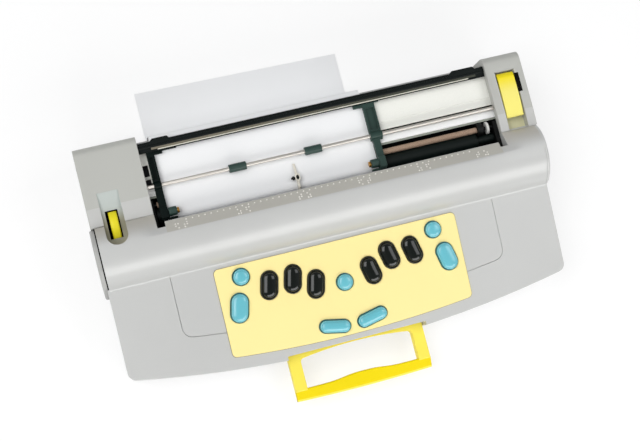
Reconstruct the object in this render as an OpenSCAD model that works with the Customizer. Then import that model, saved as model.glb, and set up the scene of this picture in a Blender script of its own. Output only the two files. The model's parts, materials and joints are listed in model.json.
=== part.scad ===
// Desktop braille writer: a six-dot keyboard in front, a rounded hood over the embossing
// head, and an open paper bed between two end covers, with a sheet of paper loaded.
// Millimetres. X runs to the right, Y to the back and Z up from the table. Inside the
// modules Y is measured from the line where the hood meets the keyboard deck; place()
// then centres the whole machine over its footprint.

/* [Body] */
// Width of the keyboard deck and the lower body
body_w = 443; // [410:0.5:480]
// How far each end cover stands out beyond the lower body
cover_over = 1.9; // [0:0.1:3]
// How far each end of the hood stays inside the lower body, under its side cheek
hood_in = 1.7; // [1:0.1:2.5]
// Distance from the hood line to the middle of the bowed front edge
front_reach = 108.2; // [104:0.2:112]
// Radius of the bowed front edge
front_bow_r = 1148; // [1000:10:1400]
// Radius of the two front corners in plan
front_corner_r = 8; // [4:0.5:12]
// Distance from the hood line to the back wall
back_reach = 134.8; // [133:0.1:138]
// Thickness of the moulded walls
wall = 2.6; // [2.2:0.1:3]
// Height of the parting line between the tray and the upper casing
split_z = 33; // [31.5:0.5:34]
// Height of the rubber feet
foot_h = 4; // [3:0.5:6]
// Radius of the rubber feet
foot_r = 9; // [6:0.5:12]
// Thickness of the tray's floor
floor_t = 3; // [2.5:0.1:3.5]

/* [Keyboard deck] */
// Height of the deck's top at the hood line
deck_z = 58.5; // [57.5:0.1:59.5]
// Slope of the deck down to the front, in degrees
deck_slope = 9.5; // [9:0.1:10]
// Width of the keyboard insert set into the deck
insert_w = 324; // [316:1:332]
// Distance from the hood line to the middle of the insert's front edge
insert_reach = 72; // [69:0.5:74]
// Radius of the insert's front corners
insert_corner_r = 10; // [6:0.5:13]
// Width of the yellow key panel
panel_w = 243; // [241:0.5:247]
// Thickness of the yellow key panel
panel_t = 1.2; // [0.8:0.1:1.6]
// Gap between the hood line and the panel's back edge
panel_back = 5.7; // [4.6:0.1:6.4]
// Distance from the hood line to the middle of the panel's front edge
panel_reach = 96.6; // [95.5:0.1:99]
// Radius of the panel's corners
panel_corner_r = 4.5; // [3:0.5:6]

/* [Keys] */
// Width of the six black dot keys
dot_w = 16.6; // [15:0.2:17.6]
// Length of the six black dot keys
dot_len = 27.8; // [26:0.2:29]
// Distance of the three dot keys of a hand from the middle, outer to inner
dot_x = [72.2, 48.7, 27.9];
// Distance of the three dot keys of a hand in front of the hood line
dot_y = [31.5, 31.1, 41.1];
// Angle by which the two hands' keys splay outwards, in degrees
dot_splay = 13.5; // [10:0.5:16]
// Diameter of the round blue keys
round_d = 16.6; // [15:0.2:18]
// Length of the blue side keys
side_len = 28.6; // [26:0.2:30]
// Width of the blue side keys
side_w = 17.4; // [15.6:0.2:18.4]
// Length of the two blue space keys
space_len = 31; // [28:0.2:33]
// Width of the two blue space keys
space_w = 13; // [11.6:0.2:14]
// Angle between the space keys and the front edge, in degrees
space_splay = 12; // [8:0.5:15]
// Gap round each key in its hole
key_gap = 0.5; // [0.3:0.05:0.7]
// Height of the key tops above the deck
key_rise = 6.2; // [5:0.1:7.5]
// Travel of a pressed key
key_travel = 2.2; // [1.6:0.1:2.3]

/* [Hood and paper bed] */
// Distance of the hood's crest behind the hood line
crest_y = 34; // [33:0.2:35]
// Height of the hood's crest
crest_z = 84.5; // [83.8:0.1:86]
// Height of the sharp step where the hood rises from the deck
hood_toe = 1.5; // [0.8:0.1:2]
// Distance behind the hood line where the sloping ledge starts
ledge_y = 37; // [36.4:0.2:38]
// Slope of the ledge down to the back, in degrees
ledge_slope = 30.2; // [29.6:0.1:31]
// Distance behind the hood line where the ledge ends at the paper bed
bed_front = 48.6; // [48:0.1:49]
// Width of the cover on the left end
left_cover_w = 60.1; // [59:0.1:61]
// Width of the cover on the right end
right_cover_w = 38; // [37.5:0.1:39.5]
// Distance behind the hood line where the end covers start
cover_front = 57.8; // [57.4:0.1:58.4]
// Height of the end covers at the back
cover_z = 74.4; // [74:0.1:76]
// Radius of the covers' top back edge
cover_edge_r = 8; // [5:0.5:10]
// Height of the paper bed's surface, which carries the sheet
bed_z = 63.9; // [63.4:0.1:64.2]

/* [Paper path] */
// Width of the loaded sheet
paper_w = 210; // [206:1:212]
// Distance of the sheet's left edge from the paper bed's left side
paper_margin = 12.3; // [11.8:0.1:13.8]
// Thickness of the sheet, stiff enough for embossing
paper_t = 0.4; // [0.3:0.05:0.5]
// Angle at which the sheet drops behind the machine, in degrees
paper_drop = 84; // [82:0.5:85]
// Distance from the hood line to the sheet's back edge, which lies on the table
paper_end = 189; // [180:0.5:200]
// How far the sheet's back edge is askew over its width
paper_skew = 3.4; // [0:0.2:5]
// Radius of the rubber feed roller
feed_r = 8; // [7.4:0.1:8.1]
// Distance of the feed roller's axis behind the hood line
feed_y = 57.4; // [57:0.1:58]
// Radius of the steel feed shaft
feed_shaft_r = 3; // [2.5:0.1:3.5]
// Radius of the hand wheel
wheel_r = 19; // [18.6:0.1:19.4]
// Width of the hand wheel's tread
wheel_w = 8; // [7:0.1:9]
// Distance of the hand wheel's middle from the outer side of the left cover
wheel_in = 22.9; // [22.4:0.1:23.4]
// Radius of the brown friction roller
friction_r = 2.9; // [2.5:0.1:3]
// Distance of the friction roller's axis behind the hood line
friction_y = 67.4; // [67.2:0.1:68.4]
// Radius of the steel bail rod
bail_r = 1.9; // [1.6:0.1:2.1]
// Distance of the bail rod behind the hood line
bail_y = 84.3; // [84:0.1:84.8]
// Radius of the two rubber bail rollers
bail_roller_r = 4; // [3.6:0.1:4.4]
// Length of the two rubber bail rollers
bail_roller_len = 17; // [14:0.5:20]
// Distances of the two bail rollers from the sheet's left edge
bail_roller_at = [75.5, 150.5];
// Width of the left paper guide's arm
left_guide_w = 7.4; // [6.6:0.1:8]
// Width of the right paper guide's arm
right_guide_w = 12; // [10:0.1:13]
// How far each guide's lip reaches over the sheet
guide_lip = 1.6; // [1:0.1:2.4]
// Radius of the guides' pinch rollers
pinch_r = 4.3; // [3.8:0.1:4.6]
// Length of the guides' pinch rollers
pinch_len = 7.8; // [6:0.2:8.4]

/* [Carrying handle] */
// Width of the handle over its arms
handle_w = 138.4; // [136:0.2:140]
// Width of each arm
arm_w = 12; // [9:0.2:13]
// Height of the handle's underside above the table
handle_z = 14.5; // [14:0.1:15.5]
// Thickness of the handle
handle_t = 11.5; // [10:0.1:11.8]
// Distance that the handle is pulled out in front of the hood line
handle_out = 146.5; // [145:0.5:150]
// Depth of the grip bar
grip_d = 11.8; // [10:0.2:14]
// Travel of the handle into the body
handle_travel = 38; // [34:0.5:40]

/* [Release lever] */
// Width of the yellow release lever
lever_w = 17.4; // [16:0.1:18]
// Distance of the lever's middle from the outer side of the right cover
lever_in = 19.1; // [18.8:0.1:19.5]
// Distance of the lever's front tip behind the hood line
lever_front = 70.6; // [69:0.2:72]
// Distance of the lever's pivot behind the hood line
lever_pivot_y = 111.8; // [111:0.1:112.4]
// Radius of the lever's pivot pins
lever_pin_r = 2; // [1.6:0.1:2.3]

/* [Fits] */
// Running clearance of a shaft in its hole, on the radius
run_gap = 0.06; // [0.03:0.01:0.09]
// Clearance between rolling or sliding faces
slide_gap = 0.3; // [0.2:0.05:0.4]

/* [Hidden] */
$fn = 48;

// Gap between two pieces that lie beside each other
seam = 0.3;
// Clearance of a fixed rod or hub in its hole, on the radius
fit = 0.02;
// Width over the two end covers, and of the hood between the side cheeks
cover_span = body_w + 2 * cover_over;
hood_w = body_w - 2 * hood_in;
// Distances of the hand wheel's and the lever's middle from the middle of the machine
wheel_x = cover_span / 2 - wheel_in;
lever_x = cover_span / 2 - lever_in;
// Centre of the bowed front edge and of all the curves that run with it
bow_c = front_bow_r - front_reach;
// Slope of the deck as a rise per unit of length, and the wall measured upright
deck_rise = tan(deck_slope);
deck_skin = wall / cos(deck_slope);
// Front end of the deck's sloping plane, beyond the body
deck_end = -front_reach - 9;
// Straight front of the deck at the handle
notch_y = -(front_reach - 6.2);
notch_half = handle_w / 2 + 1;
// Inner faces of the end covers, which are the sides of the paper bed
left_in = -cover_span / 2 + left_cover_w;
right_in = cover_span / 2 - right_cover_w;
paper_left = -left_in - paper_margin;
// The hood's round front: its radius makes it start at the hood line
hood_h = crest_z - deck_z - hood_toe;
hood_r = (crest_y * crest_y + hood_h * hood_h) / (2 * hood_h);
hood_cz = crest_z - hood_r;
hood_a0 = acos((ledge_y - crest_y) / hood_r);
hood_a1 = 180 - asin((deck_z + hood_toe - hood_cz) / hood_r);
ledge_top = hood_cz + hood_r * sin(hood_a0);
// Height above which the paper bed's side walls stand
side_low = bed_z + 1.6;
// The side covers' top: flat behind the crease, falling a little in front of it
crease_y = cover_front + 17.8;
crease_z = cover_z - 0.5;
// Round side plates of the hood: their steps, corner, foot and round top
cheek_t = 3.8;
cheek_steps = 4;
cheek_edge = 2.2;
cheek_front = -6;
cheek_foot = split_z - 15;
cheek_r = 32.4;
cheek_c = [crest_y - 3, crest_z - 38.5];
// Chassis of folded sheet between the end covers
sheet_t = 1.6;
frame_left = left_in - wall - 1.1;
frame_right = right_in + wall + 0.5;
frame_front = 4;
frame_back = back_reach - 6.8;
frame_z = foot_h + floor_t + 2;
plates = [frame_left - sheet_t, frame_right + sheet_t];
tower = 4.4;
// Bed: platen under the embossing head, and the table behind the bail rod
platen_t = 4.8;
platen_y = [friction_y + 8.6, bail_y - 0.9];
table_t = 2.4;
table_step = 0.6;
table_front = bail_y + 4.3;
table_back = back_reach - 10.6;
// Bar over the sheet at the back, its two humps and the two edges of its felt strip
bar_low = bed_z + paper_t + 0.4;
bar_front = back_reach - 16.6;
bar_back = back_reach - 7.8;
bar_leg = 6.7;
bar_humps = [from(left_in, 14.8, 31.3), from(right_in, -31.2, -13.2)];
felt_a = [bar_front + 1.6, bar_low + 1.6];
felt_b = [bar_back - 3.6, bar_low + 3.2];
// Axes of the paper drive
feed_z = bed_z - 0.4 - feed_r;
friction_z = bed_z - 0.4 - friction_r;
bail_z = bed_z + paper_t + slide_gap + bail_roller_r;
pinch_z = bed_z + paper_t + slide_gap + pinch_r;
paper_right = paper_w - paper_left;
stub_r = 1.5;
// Ends of the two long rollers, the discs at the friction roller's right end, and the
// faces of the blocks that hold them
feed_ends = [frame_left + 7, frame_right - 25.5];
hub_end = frame_right - 7.3;
friction_ends = [frame_left + 9, frame_right - 23.7];
discs = [from(friction_ends[1], seam, 6), from(friction_ends[1], 9.6, 12)];
disc_r = friction_r + 3.2;
blocks = [from(frame_left, 0, 6), from(frame_right, -6.7, 0)];
block_y = [bed_front - 4.1, friction_y + 5];
block_z = [feed_z - 5.6, bed_z + 0.3];
// The two sliding paper guides
guide_z = bed_z + paper_t + slide_gap;
guide_t = 4.4;
guide_tab_t = 3.4;
guide_front = feed_y - 6.4;
guide_back = bar_front - slide_gap;
left_guide_x = -paper_left + guide_lip;
right_guide_x = paper_right - guide_lip;
left_arm = [left_guide_x - left_guide_w, left_guide_x];
right_arm = [right_guide_x, right_guide_x + right_guide_w];
right_foot = from(right_guide_x, 1.8, 8.8);
// The sheet: round the feed roller, over the bed, down behind and along the table
paper_wrap = 160;
paper_tail = 25;
bend_r = 7.5;
foot_bend_r = 9;
sheet_mid = bed_z + paper_t / 2;
sheet_low = 0.3 + paper_t / 2;
bend = [table_back + 2.2, sheet_mid - bend_r];
drop_h = bend[1] + bend_r * cos(paper_drop) - sheet_low - foot_bend_r * (1 - cos(paper_drop));
foot_bend = [
    bend[0] + (bend_r + foot_bend_r) * sin(paper_drop) + drop_h / tan(paper_drop),
    sheet_low + foot_bend_r
];
rear_y = paper_end + paper_skew / 2;
// Hand wheel recess
recess_half = 10;
recess_front = feed_y - 10.9;
recess_floor = cover_z - 4.4;
recess_ramp_y = feed_y + 14.1;
recess_back = feed_y + 31.6;
recess_x = -wheel_x;
wheel_slot = from(wheel_x, -wheel_w / 2 - 1.4, wheel_w / 2 + 2.6);
wheel_slot_r = wheel_r + 0.6;
// Release lever slot
slot_half = lever_w / 2 + 1.4;
slot_back = lever_pivot_y + 5.6;
slot_floor = cover_z - 11.9;
lever_pivot_z = cover_z - 7;
lever_hub_r = 4.2;
lever_t = 3.4;
// Carriage drive under the hood
drive_z = 30;
drive_x = frame_right - 20.5;
idler_x = frame_left + 9;
pulley_r = 6;
pulley_w = 6;
belt_t = 1;
belt_y = frame_front + 9;
belt_w = 5;
rod_r = 3;
rod_at = [[frame_front + 18, 51], [frame_front + 33, 38]];
carriage_x = 129 - paper_left;
carriage_w = 40;
carriage_y = [frame_front + 13, frame_front + 39];
carriage_top = crest_z - 26.5;
head_y = frame_front + 21;
magnet_r = 4.2;
magnet_gap = [11, 12];
head_half = 10;
head_d = 15;
clamp_half = 12;
motor_w = 35;
motor_shaft_r = 2;
motor_nose_r = 8;
// Feed drive in the left end
feed_motor_at = [back_reach - 29.8, 31];
feed_motor_len = 34;
feed_pulley_r = 12;
motor_pulley_r = 5;
feed_belt_x = frame_left - sheet_t - 8;
// Screws and feet
screw_r = 1.5;
screw_head_r = 2.9;
boss_r = 5;
boss_hole = 12;
boss_in = 16.5;
boss_y = [38.2 - front_reach, 22];
casing_bosses = [for (s = [-1, 1], y = boss_y) [s * (body_w / 2 - boss_in), y]];
cover_boss_in = [11, 13];
cover_boss = [cover_span / 2, back_reach] - cover_boss_in;
foot_in = 31.5;
foot_y = [33.2 - front_reach, back_reach - 21];
foot_at = [for (s = [-1, 1], y = foot_y) [s * (body_w / 2 - foot_in), y]];
// Slides of the handle in the tray
rail_y = [notch_y + 1, notch_y + handle_travel + 20];
rail_z = handle_z + handle_t + slide_gap;
rail_lip = 1.5;
// Boards, speaker and sockets in the tray
floor_z = foot_h + floor_t;
main_board_z = floor_z + 5;
main_board_x = from(-body_w / 2, 22.5, 136.5);
main_board_y = from(-front_reach, 23.2, 96.7);
board_posts = [for (x = [5, -7], y = [7, -6.5])
    [main_board_x[x > 0 ? 0 : 1] + x, main_board_y[y > 0 ? 0 : 1] + y]];
// Two chips on it, each with its place and half its length, half their width, and a row
// of round parts with its start, spacing and distance from the board's back edge
chips = [[29, 35, 10], [73, 28, 14]];
chip_half = 9;
round_parts = [49, 12, 16.5];
round_part_r = 3.5;
frame_posts = [-120, 0, 120];
battery_x = from(body_w / 2, -135.5, -29.5);
battery_y = from(-front_reach, 24.2, 70.2);
battery_h = 17;
speaker_at = [33.5 - body_w / 2, 4];
speaker_r = 15;
speaker_hole_r = 1.6;
socket_z = 18;
power_x = 27.5 - body_w / 2;
data_x = power_x + 16;
data_w = 12;
data_h = 9;
jack_r = 4.5;
socket_deep = 13;
// Keys: the flange below the deck, the stem and the switch that it works
flange_t = 1.5;
flange_lip = 1.4;
flange_top = -wall - slide_gap;
switch_top = flange_top - flange_t - key_travel - 0.4;
switch_h = 4.2;
switch_w = 10;
stem_r = 2.4;
stem_end = switch_top - 1.4;
board_t = 1.6;
board_top = switch_top - switch_h;
insert_posts = [[0, -20], [-117, -22], [117, -22], [-85, -62], [85, -62]];
key_board_half = panel_w / 2 + 0.5;
key_board_y = [3.1 - panel_reach, -panel_back - 3.3];

// Place, length, width and turn of every key on the deck
function dot_key(side, i) = [side * dot_x[i], -dot_y[i], dot_len, dot_w, side * dot_splay];
KEYS = [
    dot_key(-1, 2), dot_key(-1, 1), dot_key(-1, 0), dot_key(1, 2), dot_key(1, 1), dot_key(1, 0),
    [-96.8, -17.4, round_d, round_d, 0], [96.8, -17.4, round_d, round_d, 0],
    [0, -45.9, round_d, round_d, 0],
    [-104.8, -45.7, side_len, side_w, -dot_splay], [104.8, -45.7, side_len, side_w, dot_splay],
    [-18.9, -84.9, space_len, space_w, 90 - space_splay],
    [18.9, -84.9, space_len, space_w, 90 + space_splay]
];

// Ranges: h to both sides of c, and a range of two offsets from c
function span(c, h) = [c - h, c + h];
function from(c, a, b) = [c + a, c + b];

// Outline helpers
function unit(v) = v / norm(v);
function arc(c, r, a0, a1, n = 12) =
    [for (i = [0:n]) let (a = a0 + (a1 - a0) * i / n) c + r * [cos(a), sin(a)]];
function corner_arc(p, u, v, r, n) =
    let (
        half = acos(u * v) / 2,
        c = p + unit(u + v) * r / sin(half),
        s = p + u * r / tan(half) - c,
        e = p + v * r / tan(half) - c,
        a0 = atan2(s[1], s[0]),
        raw = atan2(e[1], e[0]) - a0,
        sweep = raw > 180 ? raw - 360 : raw < -180 ? raw + 360 : raw
    )
    arc(c, r, a0, a0 + sweep, n);
// Outline with every corner i rounded by radii[i]
function rounded(pts, radii, n = 5) =
    let (count = len(pts))
    [for (i = [0:count - 1])
        each (radii[i] > 0
            ? corner_arc(pts[i], unit(pts[(i + count - 1) % count] - pts[i]),
                unit(pts[(i + 1) % count] - pts[i]), radii[i], n)
            : [pts[i]])];
// Point of the curve of radius r that runs with the front edge
function bow_y(r, x) = bow_c - sqrt(r * r - x * x);
// Outline with a bowed front, straight sides and a straight back
function bowed(half, r, back, corner, back_corner = 0, n = 20) =
    rounded(
        concat([for (i = [0:n]) let (x = half * (2 * i / n - 1)) [x, bow_y(r, x)]],
            [[half, back], [-half, back]]),
        [for (i = [0:n + 2]) i == 0 || i == n ? corner : i > n ? back_corner : 0]
    );
function deck_at(y) = deck_z + y * deck_rise;
function ledge_at(y) = ledge_top - (y - ledge_y) * tan(ledge_slope);

module place() translate([0, (handle_out - rear_y) / 2, 0]) children();
module along_x(x0, x1)
    translate([x0, 0, 0]) rotate([90, 0, 90]) linear_extrude(x1 - x0) children();
module box(x, y, z) translate([x[0], y[0], z[0]]) cube([x[1] - x[0], y[1] - y[0], z[1] - z[0]]);
module cyl_x(x, y, z, r) translate([x[0], y, z]) rotate([0, 90, 0]) cylinder(h = x[1] - x[0], r = r);
module cyl_y(x, y, z, r) translate([x, y[0], z]) rotate([-90, 0, 0]) cylinder(h = y[1] - y[0], r = r);
module cyl_z(x, y, z, r) translate([x, y, z[0]]) cylinder(h = z[1] - z[0], r = r);
module on_deck() translate([0, 0, deck_z]) rotate([deck_slope, 0, 0]) children();
// Long round-ended outline, its length along Y
module slot_shape(length, width) {
    square([width, length - width], center = true);
    for (s = [-1, 1])
        translate([0, s * (length - width) / 2]) circle(d = width);
}
module at_key(k) on_deck() translate([k[0], k[1] / cos(deck_slope), 0]) rotate([0, 0, k[4]]) children();
module key_hole(k) {
    long = k[2] + 2 * key_gap;
    wide = k[3] + 2 * key_gap;
    at_key(k) translate([0, 0, -wall - 4]) linear_extrude(wall + panel_t + 8)
        if (long > wide + 0.01) slot_shape(long, wide); else circle(d = wide);
}

// Profile of the deck, seen from the right: its top lies drop below the deck's own
module deck_profile(front, back, bottom, drop)
    polygon([[front, bottom], [back, bottom], [back, deck_at(back) - drop], [front, deck_at(front) - drop]]);

module hood_profile(back) polygon(concat(
    [[-1, split_z], [back, split_z], [back, ledge_at(back)]],
    arc([crest_y, hood_cz], hood_r, hood_a0, hood_a1, 20),
    [[0, deck_z], [-1, deck_at(-1)]]
));

// Space under the deck and the hood
module casing_cavity() {
    reach = [ledge_y - crest_y, ledge_top - hood_cz] * [sin(ledge_slope), cos(ledge_slope)] - wall;
    inner_r = hood_r - wall;
    a0 = 90 - ledge_slope + acos(reach / inner_r);
    a1 = 180 - asin((deck_z - deck_skin - hood_cz) / inner_r);
    back = cover_front + 1;
    intersection() {
        along_x(-body_w, body_w) polygon(concat(
            [[deck_end, split_z - 1], [back, split_z - 1],
                [back, ledge_at(back) - wall / cos(ledge_slope)]],
            arc([crest_y, hood_cz], inner_r, a0, a1, 20),
            [[0, deck_z - deck_skin], [deck_end, deck_at(deck_end) - deck_skin]]
        ));
        linear_extrude(crest_z) {
            polygon(bowed(body_w / 2 - wall, front_bow_r - wall, -wall, front_corner_r - wall));
            translate([-hood_w / 2 + wall, -wall - 1]) square([hood_w - 2 * wall, back + wall + 1]);
        }
    }
}

module casing_outer() {
    intersection() {
        linear_extrude(crest_z) polygon(bowed(body_w / 2, front_bow_r, 0, front_corner_r));
        along_x(-body_w, body_w) deck_profile(deck_end, 1, split_z, 0);
    }
    along_x(-hood_w / 2, hood_w / 2) hood_profile(cover_front);
}

// The recess of the hand wheel, cut from the hood and the left cover alike
module recess_cut() {
    cyl_z(recess_x, recess_front, [recess_floor, 100], recess_half);
    box(span(recess_x, recess_half), [recess_front, recess_ramp_y], [recess_floor, 100]);
    along_x(recess_x - recess_half, recess_x + recess_half)
        polygon([[recess_ramp_y - 0.1, recess_floor], [recess_back, crease_z - 0.5],
            [recess_back, 100], [recess_ramp_y - 0.1, 100]]);
    cyl_x([-wheel_slot[1], -wheel_slot[0]], feed_y, feed_z, wheel_slot_r);
}
module recess_tub() {
    cyl_z(recess_x, recess_front, [recess_floor - wall, crest_z], recess_half + wall);
    box(span(recess_x, recess_half + wall), [recess_front, recess_back + wall],
        [recess_floor - wall, crest_z]);
}

module top_casing() color([0.78, 0.78, 0.77]) place() difference() {
    union() {
        difference() {
            casing_outer();
            casing_cavity();
        }
        intersection() {
            casing_outer();
            union() {
                recess_tub();
                box(span(0, notch_half + wall), [-front_reach - 1, notch_y + wall], [split_z, crest_z]);
                // Short inner walls beside the front end of the paper bed
                for (x = [left_in - wall, right_in])
                    box([x, x + wall], [bed_front - 8, cover_front], [side_low, crest_z]);
                for (b = casing_bosses) cyl_z(b[0], b[1], [split_z, crest_z], boss_r);
            }
        }
    }
    recess_cut();
    // Front notch for the handle
    box(span(0, notch_half), [deck_end, notch_y], [split_z - 1, crest_z]);
    // Paper bed with a small step beside each end of the ledge
    box([left_in, right_in], [bed_front, cover_front + 9], [split_z - 1, crest_z]);
    for (s = [[left_in, left_in + 7.8], [right_in - 7.2, right_in]])
        box(s, [bed_front - 5.3, bed_front + 1], [split_z - 1, crest_z]);
    // Opening for the keyboard insert, the space keys' holes and the screw holes
    translate([0, 0, split_z]) linear_extrude(crest_z)
        polygon(bowed(insert_w / 2 + seam, bow_c + insert_reach + seam, -1, insert_corner_r, 0, 16));
    for (k = KEYS) key_hole(k);
    for (b = casing_bosses) cyl_z(b[0], b[1], [split_z - 1, split_z + boss_hole], screw_r + run_gap);
}

// Outline of an end cover seen from the right, its walls t thick
module cover_profile(t) {
    back = back_reach - t;
    skin = t == 0 ? 0 : t;
    low = t == 0 ? split_z : split_z - 1;
    front = cover_front - skin;
    polygon(rounded(
        [[front, low], [back, low], [back, cover_z - skin], [crease_y, crease_z - skin],
            [front, ledge_at(cover_front) - skin]],
        [0, 0, max(cover_edge_r - skin, 0.5), 0, 0]
    ));
}
module cover_shell(x, inner) {
    difference() {
        along_x(x[0], x[1]) cover_profile(0);
        along_x(x[0] + wall, x[1] - wall) cover_profile(wall);
        // The side towards the paper bed is open below the bed
        box(inner, [cover_front - 1, frame_back + seam], [split_z - 1, side_low]);
    }
    intersection() {
        along_x(x[0], x[1]) cover_profile(0);
        cyl_z(sign(x[0]) * cover_boss[0], cover_boss[1], [split_z, cover_z], boss_r);
    }
}
module bail_notch(x) {
    cyl_x(x, bail_y, bail_z, bail_r + seam);
    box(x, span(bail_y, bail_r + seam), [bed_z, bail_z]);
}

module left_end_cover() color([0.76, 0.76, 0.74]) place() difference() {
    union() {
        cover_shell([-cover_span / 2, left_in], [left_in - wall - 1, left_in + 1]);
        intersection() {
            along_x(-cover_span / 2, left_in) cover_profile(0);
            recess_tub();
        }
    }
    recess_cut();
    bail_notch([left_in - wall - 1, left_in + 1]);
    cyl_z(-cover_boss[0], cover_boss[1], [split_z - 1, split_z + boss_hole], screw_r + run_gap);
}

module right_end_cover() color([0.76, 0.76, 0.74]) place() difference() {
    union() {
        cover_shell([right_in, cover_span / 2], [right_in - 1, right_in + wall + 1]);
        intersection() {
            along_x(right_in, cover_span / 2) cover_profile(0);
            box(span(lever_x, slot_half + wall), [cover_front, slot_back + wall],
                [slot_floor - wall, cover_z]);
        }
    }
    box(span(lever_x, slot_half), [cover_front + 1.6, slot_back], [slot_floor, cover_z + 1]);
    box(span(lever_x, slot_half), [cover_front - 1, cover_front + 2], [cover_z - 4.4, cover_z + 1]);
    cyl_x(span(lever_x, slot_half + wall + 0.1), lever_pivot_y, lever_pivot_z, lever_pin_r + run_gap);
    bail_notch([right_in - 1, right_in + wall + 1]);
    cyl_z(cover_boss[0], cover_boss[1], [split_z - 1, split_z + boss_hole], screw_r + run_gap);
}

// Rounded side plate that closes the hood's end; side is -1 or 1
function cheek_outline(inset) =
    let (back = cover_front - seam - inset / 2, front = cheek_front + inset, r = cheek_r - inset)
    rounded(
        concat([[front, cheek_foot + inset], [back, cheek_foot + inset]],
            arc(cheek_c, r, acos((back - cheek_c[0]) / r), 175, 20), [[front, split_z + 1]]),
        [for (i = [0:23]) i < 2 ? 4 : 0]
    );
module cheek(side) mirror([side < 0 ? 1 : 0, 0, 0]) {
    // Plug that fills the step between the hood's end and the outer plate
    along_x(hood_w / 2, body_w / 2) intersection() {
        polygon(cheek_outline(0));
        translate([seam, split_z]) square([cover_front, crest_z]);
    }
    // Outer plate, its edge rounded in steps
    for (i = [0:cheek_steps - 1]) {
        t = cheek_t / cheek_steps;
        inset = cheek_edge * (1 - sqrt(1 - i * i / (cheek_steps * cheek_steps)));
        along_x(body_w / 2 + i * t, body_w / 2 + (i + 1) * t) polygon(cheek_outline(inset));
    }
}
module left_side_cheek() color([0.7, 0.7, 0.69]) place() cheek(-1);
module right_side_cheek() color([0.7, 0.7, 0.69]) place() cheek(1);

module keyboard_insert() color([0.8, 0.8, 0.79]) place() difference() {
    union() {
        intersection() {
            linear_extrude(crest_z)
                polygon(bowed(insert_w / 2, bow_c + insert_reach, -1 - seam, insert_corner_r - seam, 0, 16));
            along_x(-body_w, body_w) deck_profile(-front_reach, 0, deck_at(-front_reach) - 9, 0);
        }
        // Rim that holds the insert against the underside of the deck
        intersection() {
            linear_extrude(crest_z)
                polygon(bowed(insert_w / 2 + 2, bow_c + insert_reach + 2, -1 - seam, insert_corner_r, 0, 16));
            along_x(-body_w, body_w) deck_profile(-front_reach, 0, deck_at(-front_reach) - 9, deck_skin);
        }
    }
    // Underside parallel to the deck, with the rim a little lower
    along_x(-body_w, body_w) deck_profile(-front_reach - 1, 1, 0, deck_skin + 1.4);
    intersection() {
        linear_extrude(crest_z)
            polygon(bowed(insert_w / 2 - 3, bow_c + insert_reach - 3, -4, insert_corner_r - 3, 3, 16));
        along_x(-body_w, body_w) deck_profile(-front_reach - 1, 1, 0, deck_skin);
    }
    for (k = KEYS) key_hole(k);
}

module key_panel() color([0.99, 0.96, 0.68]) place() difference() {
    intersection() {
        linear_extrude(crest_z)
            polygon(bowed(panel_w / 2, bow_c + panel_reach, -panel_back, panel_corner_r, panel_corner_r, 16));
        along_x(-body_w, body_w) polygon([
            [-front_reach, deck_at(-front_reach)], [0, deck_z],
            [0, deck_z + panel_t / cos(deck_slope)],
            [-front_reach, deck_at(-front_reach) + panel_t / cos(deck_slope)]
        ]);
    }
    for (k = KEYS) key_hole(k);
}

// Half outline of a key's domed cap from its foot to the crown
function dome(r, foot, top, edge) = concat(
    [[0, foot], [r, foot]],
    [for (i = [0:7]) let (a = 90 * i / 7)
        [r * pow(cos(a), 0.75), top - edge + edge * pow(sin(a), 0.85)]]
);
module key(k, edge) {
    foot = flange_top - flange_t;
    half = dome(k[3] / 2, foot, key_rise, edge);
    span = k[2] - k[3];
    at_key(k) {
        for (s = span > 0.01 ? [-1, 1] : [0]) translate([0, s * span / 2, 0]) rotate_extrude() polygon(half);
        if (span > 0.01) rotate([90, 0, 0]) linear_extrude(span, center = true) union() {
            polygon(half);
            mirror([1, 0]) polygon(half);
        }
        translate([0, 0, foot]) linear_extrude(flange_t)
            if (span > 0.01) slot_shape(k[2] + 2 * flange_lip, k[3] + 2 * flange_lip);
            else circle(d = k[3] + 2 * flange_lip);
        cyl_z(0, 0, [stem_end, foot + 0.1], stem_r);
    }
}
module dot(i) color([0.08, 0.1, 0.09]) place() key(KEYS[i], 3.6);
module blue(i) color([0.42, 0.76, 0.86]) place() key(KEYS[i], 2.2);
module dot_1_key() dot(0);
module dot_2_key() dot(1);
module dot_3_key() dot(2);
module dot_4_key() dot(3);
module dot_5_key() dot(4);
module dot_6_key() dot(5);
module left_round_key() blue(6);
module right_round_key() blue(7);
module middle_round_key() blue(8);
module left_side_key() blue(9);
module right_side_key() blue(10);
module left_space_key() blue(11);
module right_space_key() blue(12);

module key_switches() color([0.2, 0.2, 0.22]) place() for (k = KEYS) at_key(k) difference() {
    box(span(0, switch_w / 2), span(0, switch_w / 2), [board_top, switch_top]);
    cyl_z(0, 0, [board_top + 0.5, switch_top + 1], stem_r + 0.25);
}

module keyboard_board() color([0.15, 0.4, 0.25]) place() {
    on_deck() box(span(0, key_board_half), key_board_y, [board_top - board_t, board_top]);
    on_deck()
        for (p = insert_posts) cyl_z(p[0], p[1], [board_top - 0.2, -wall], 2.5);
}

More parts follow.
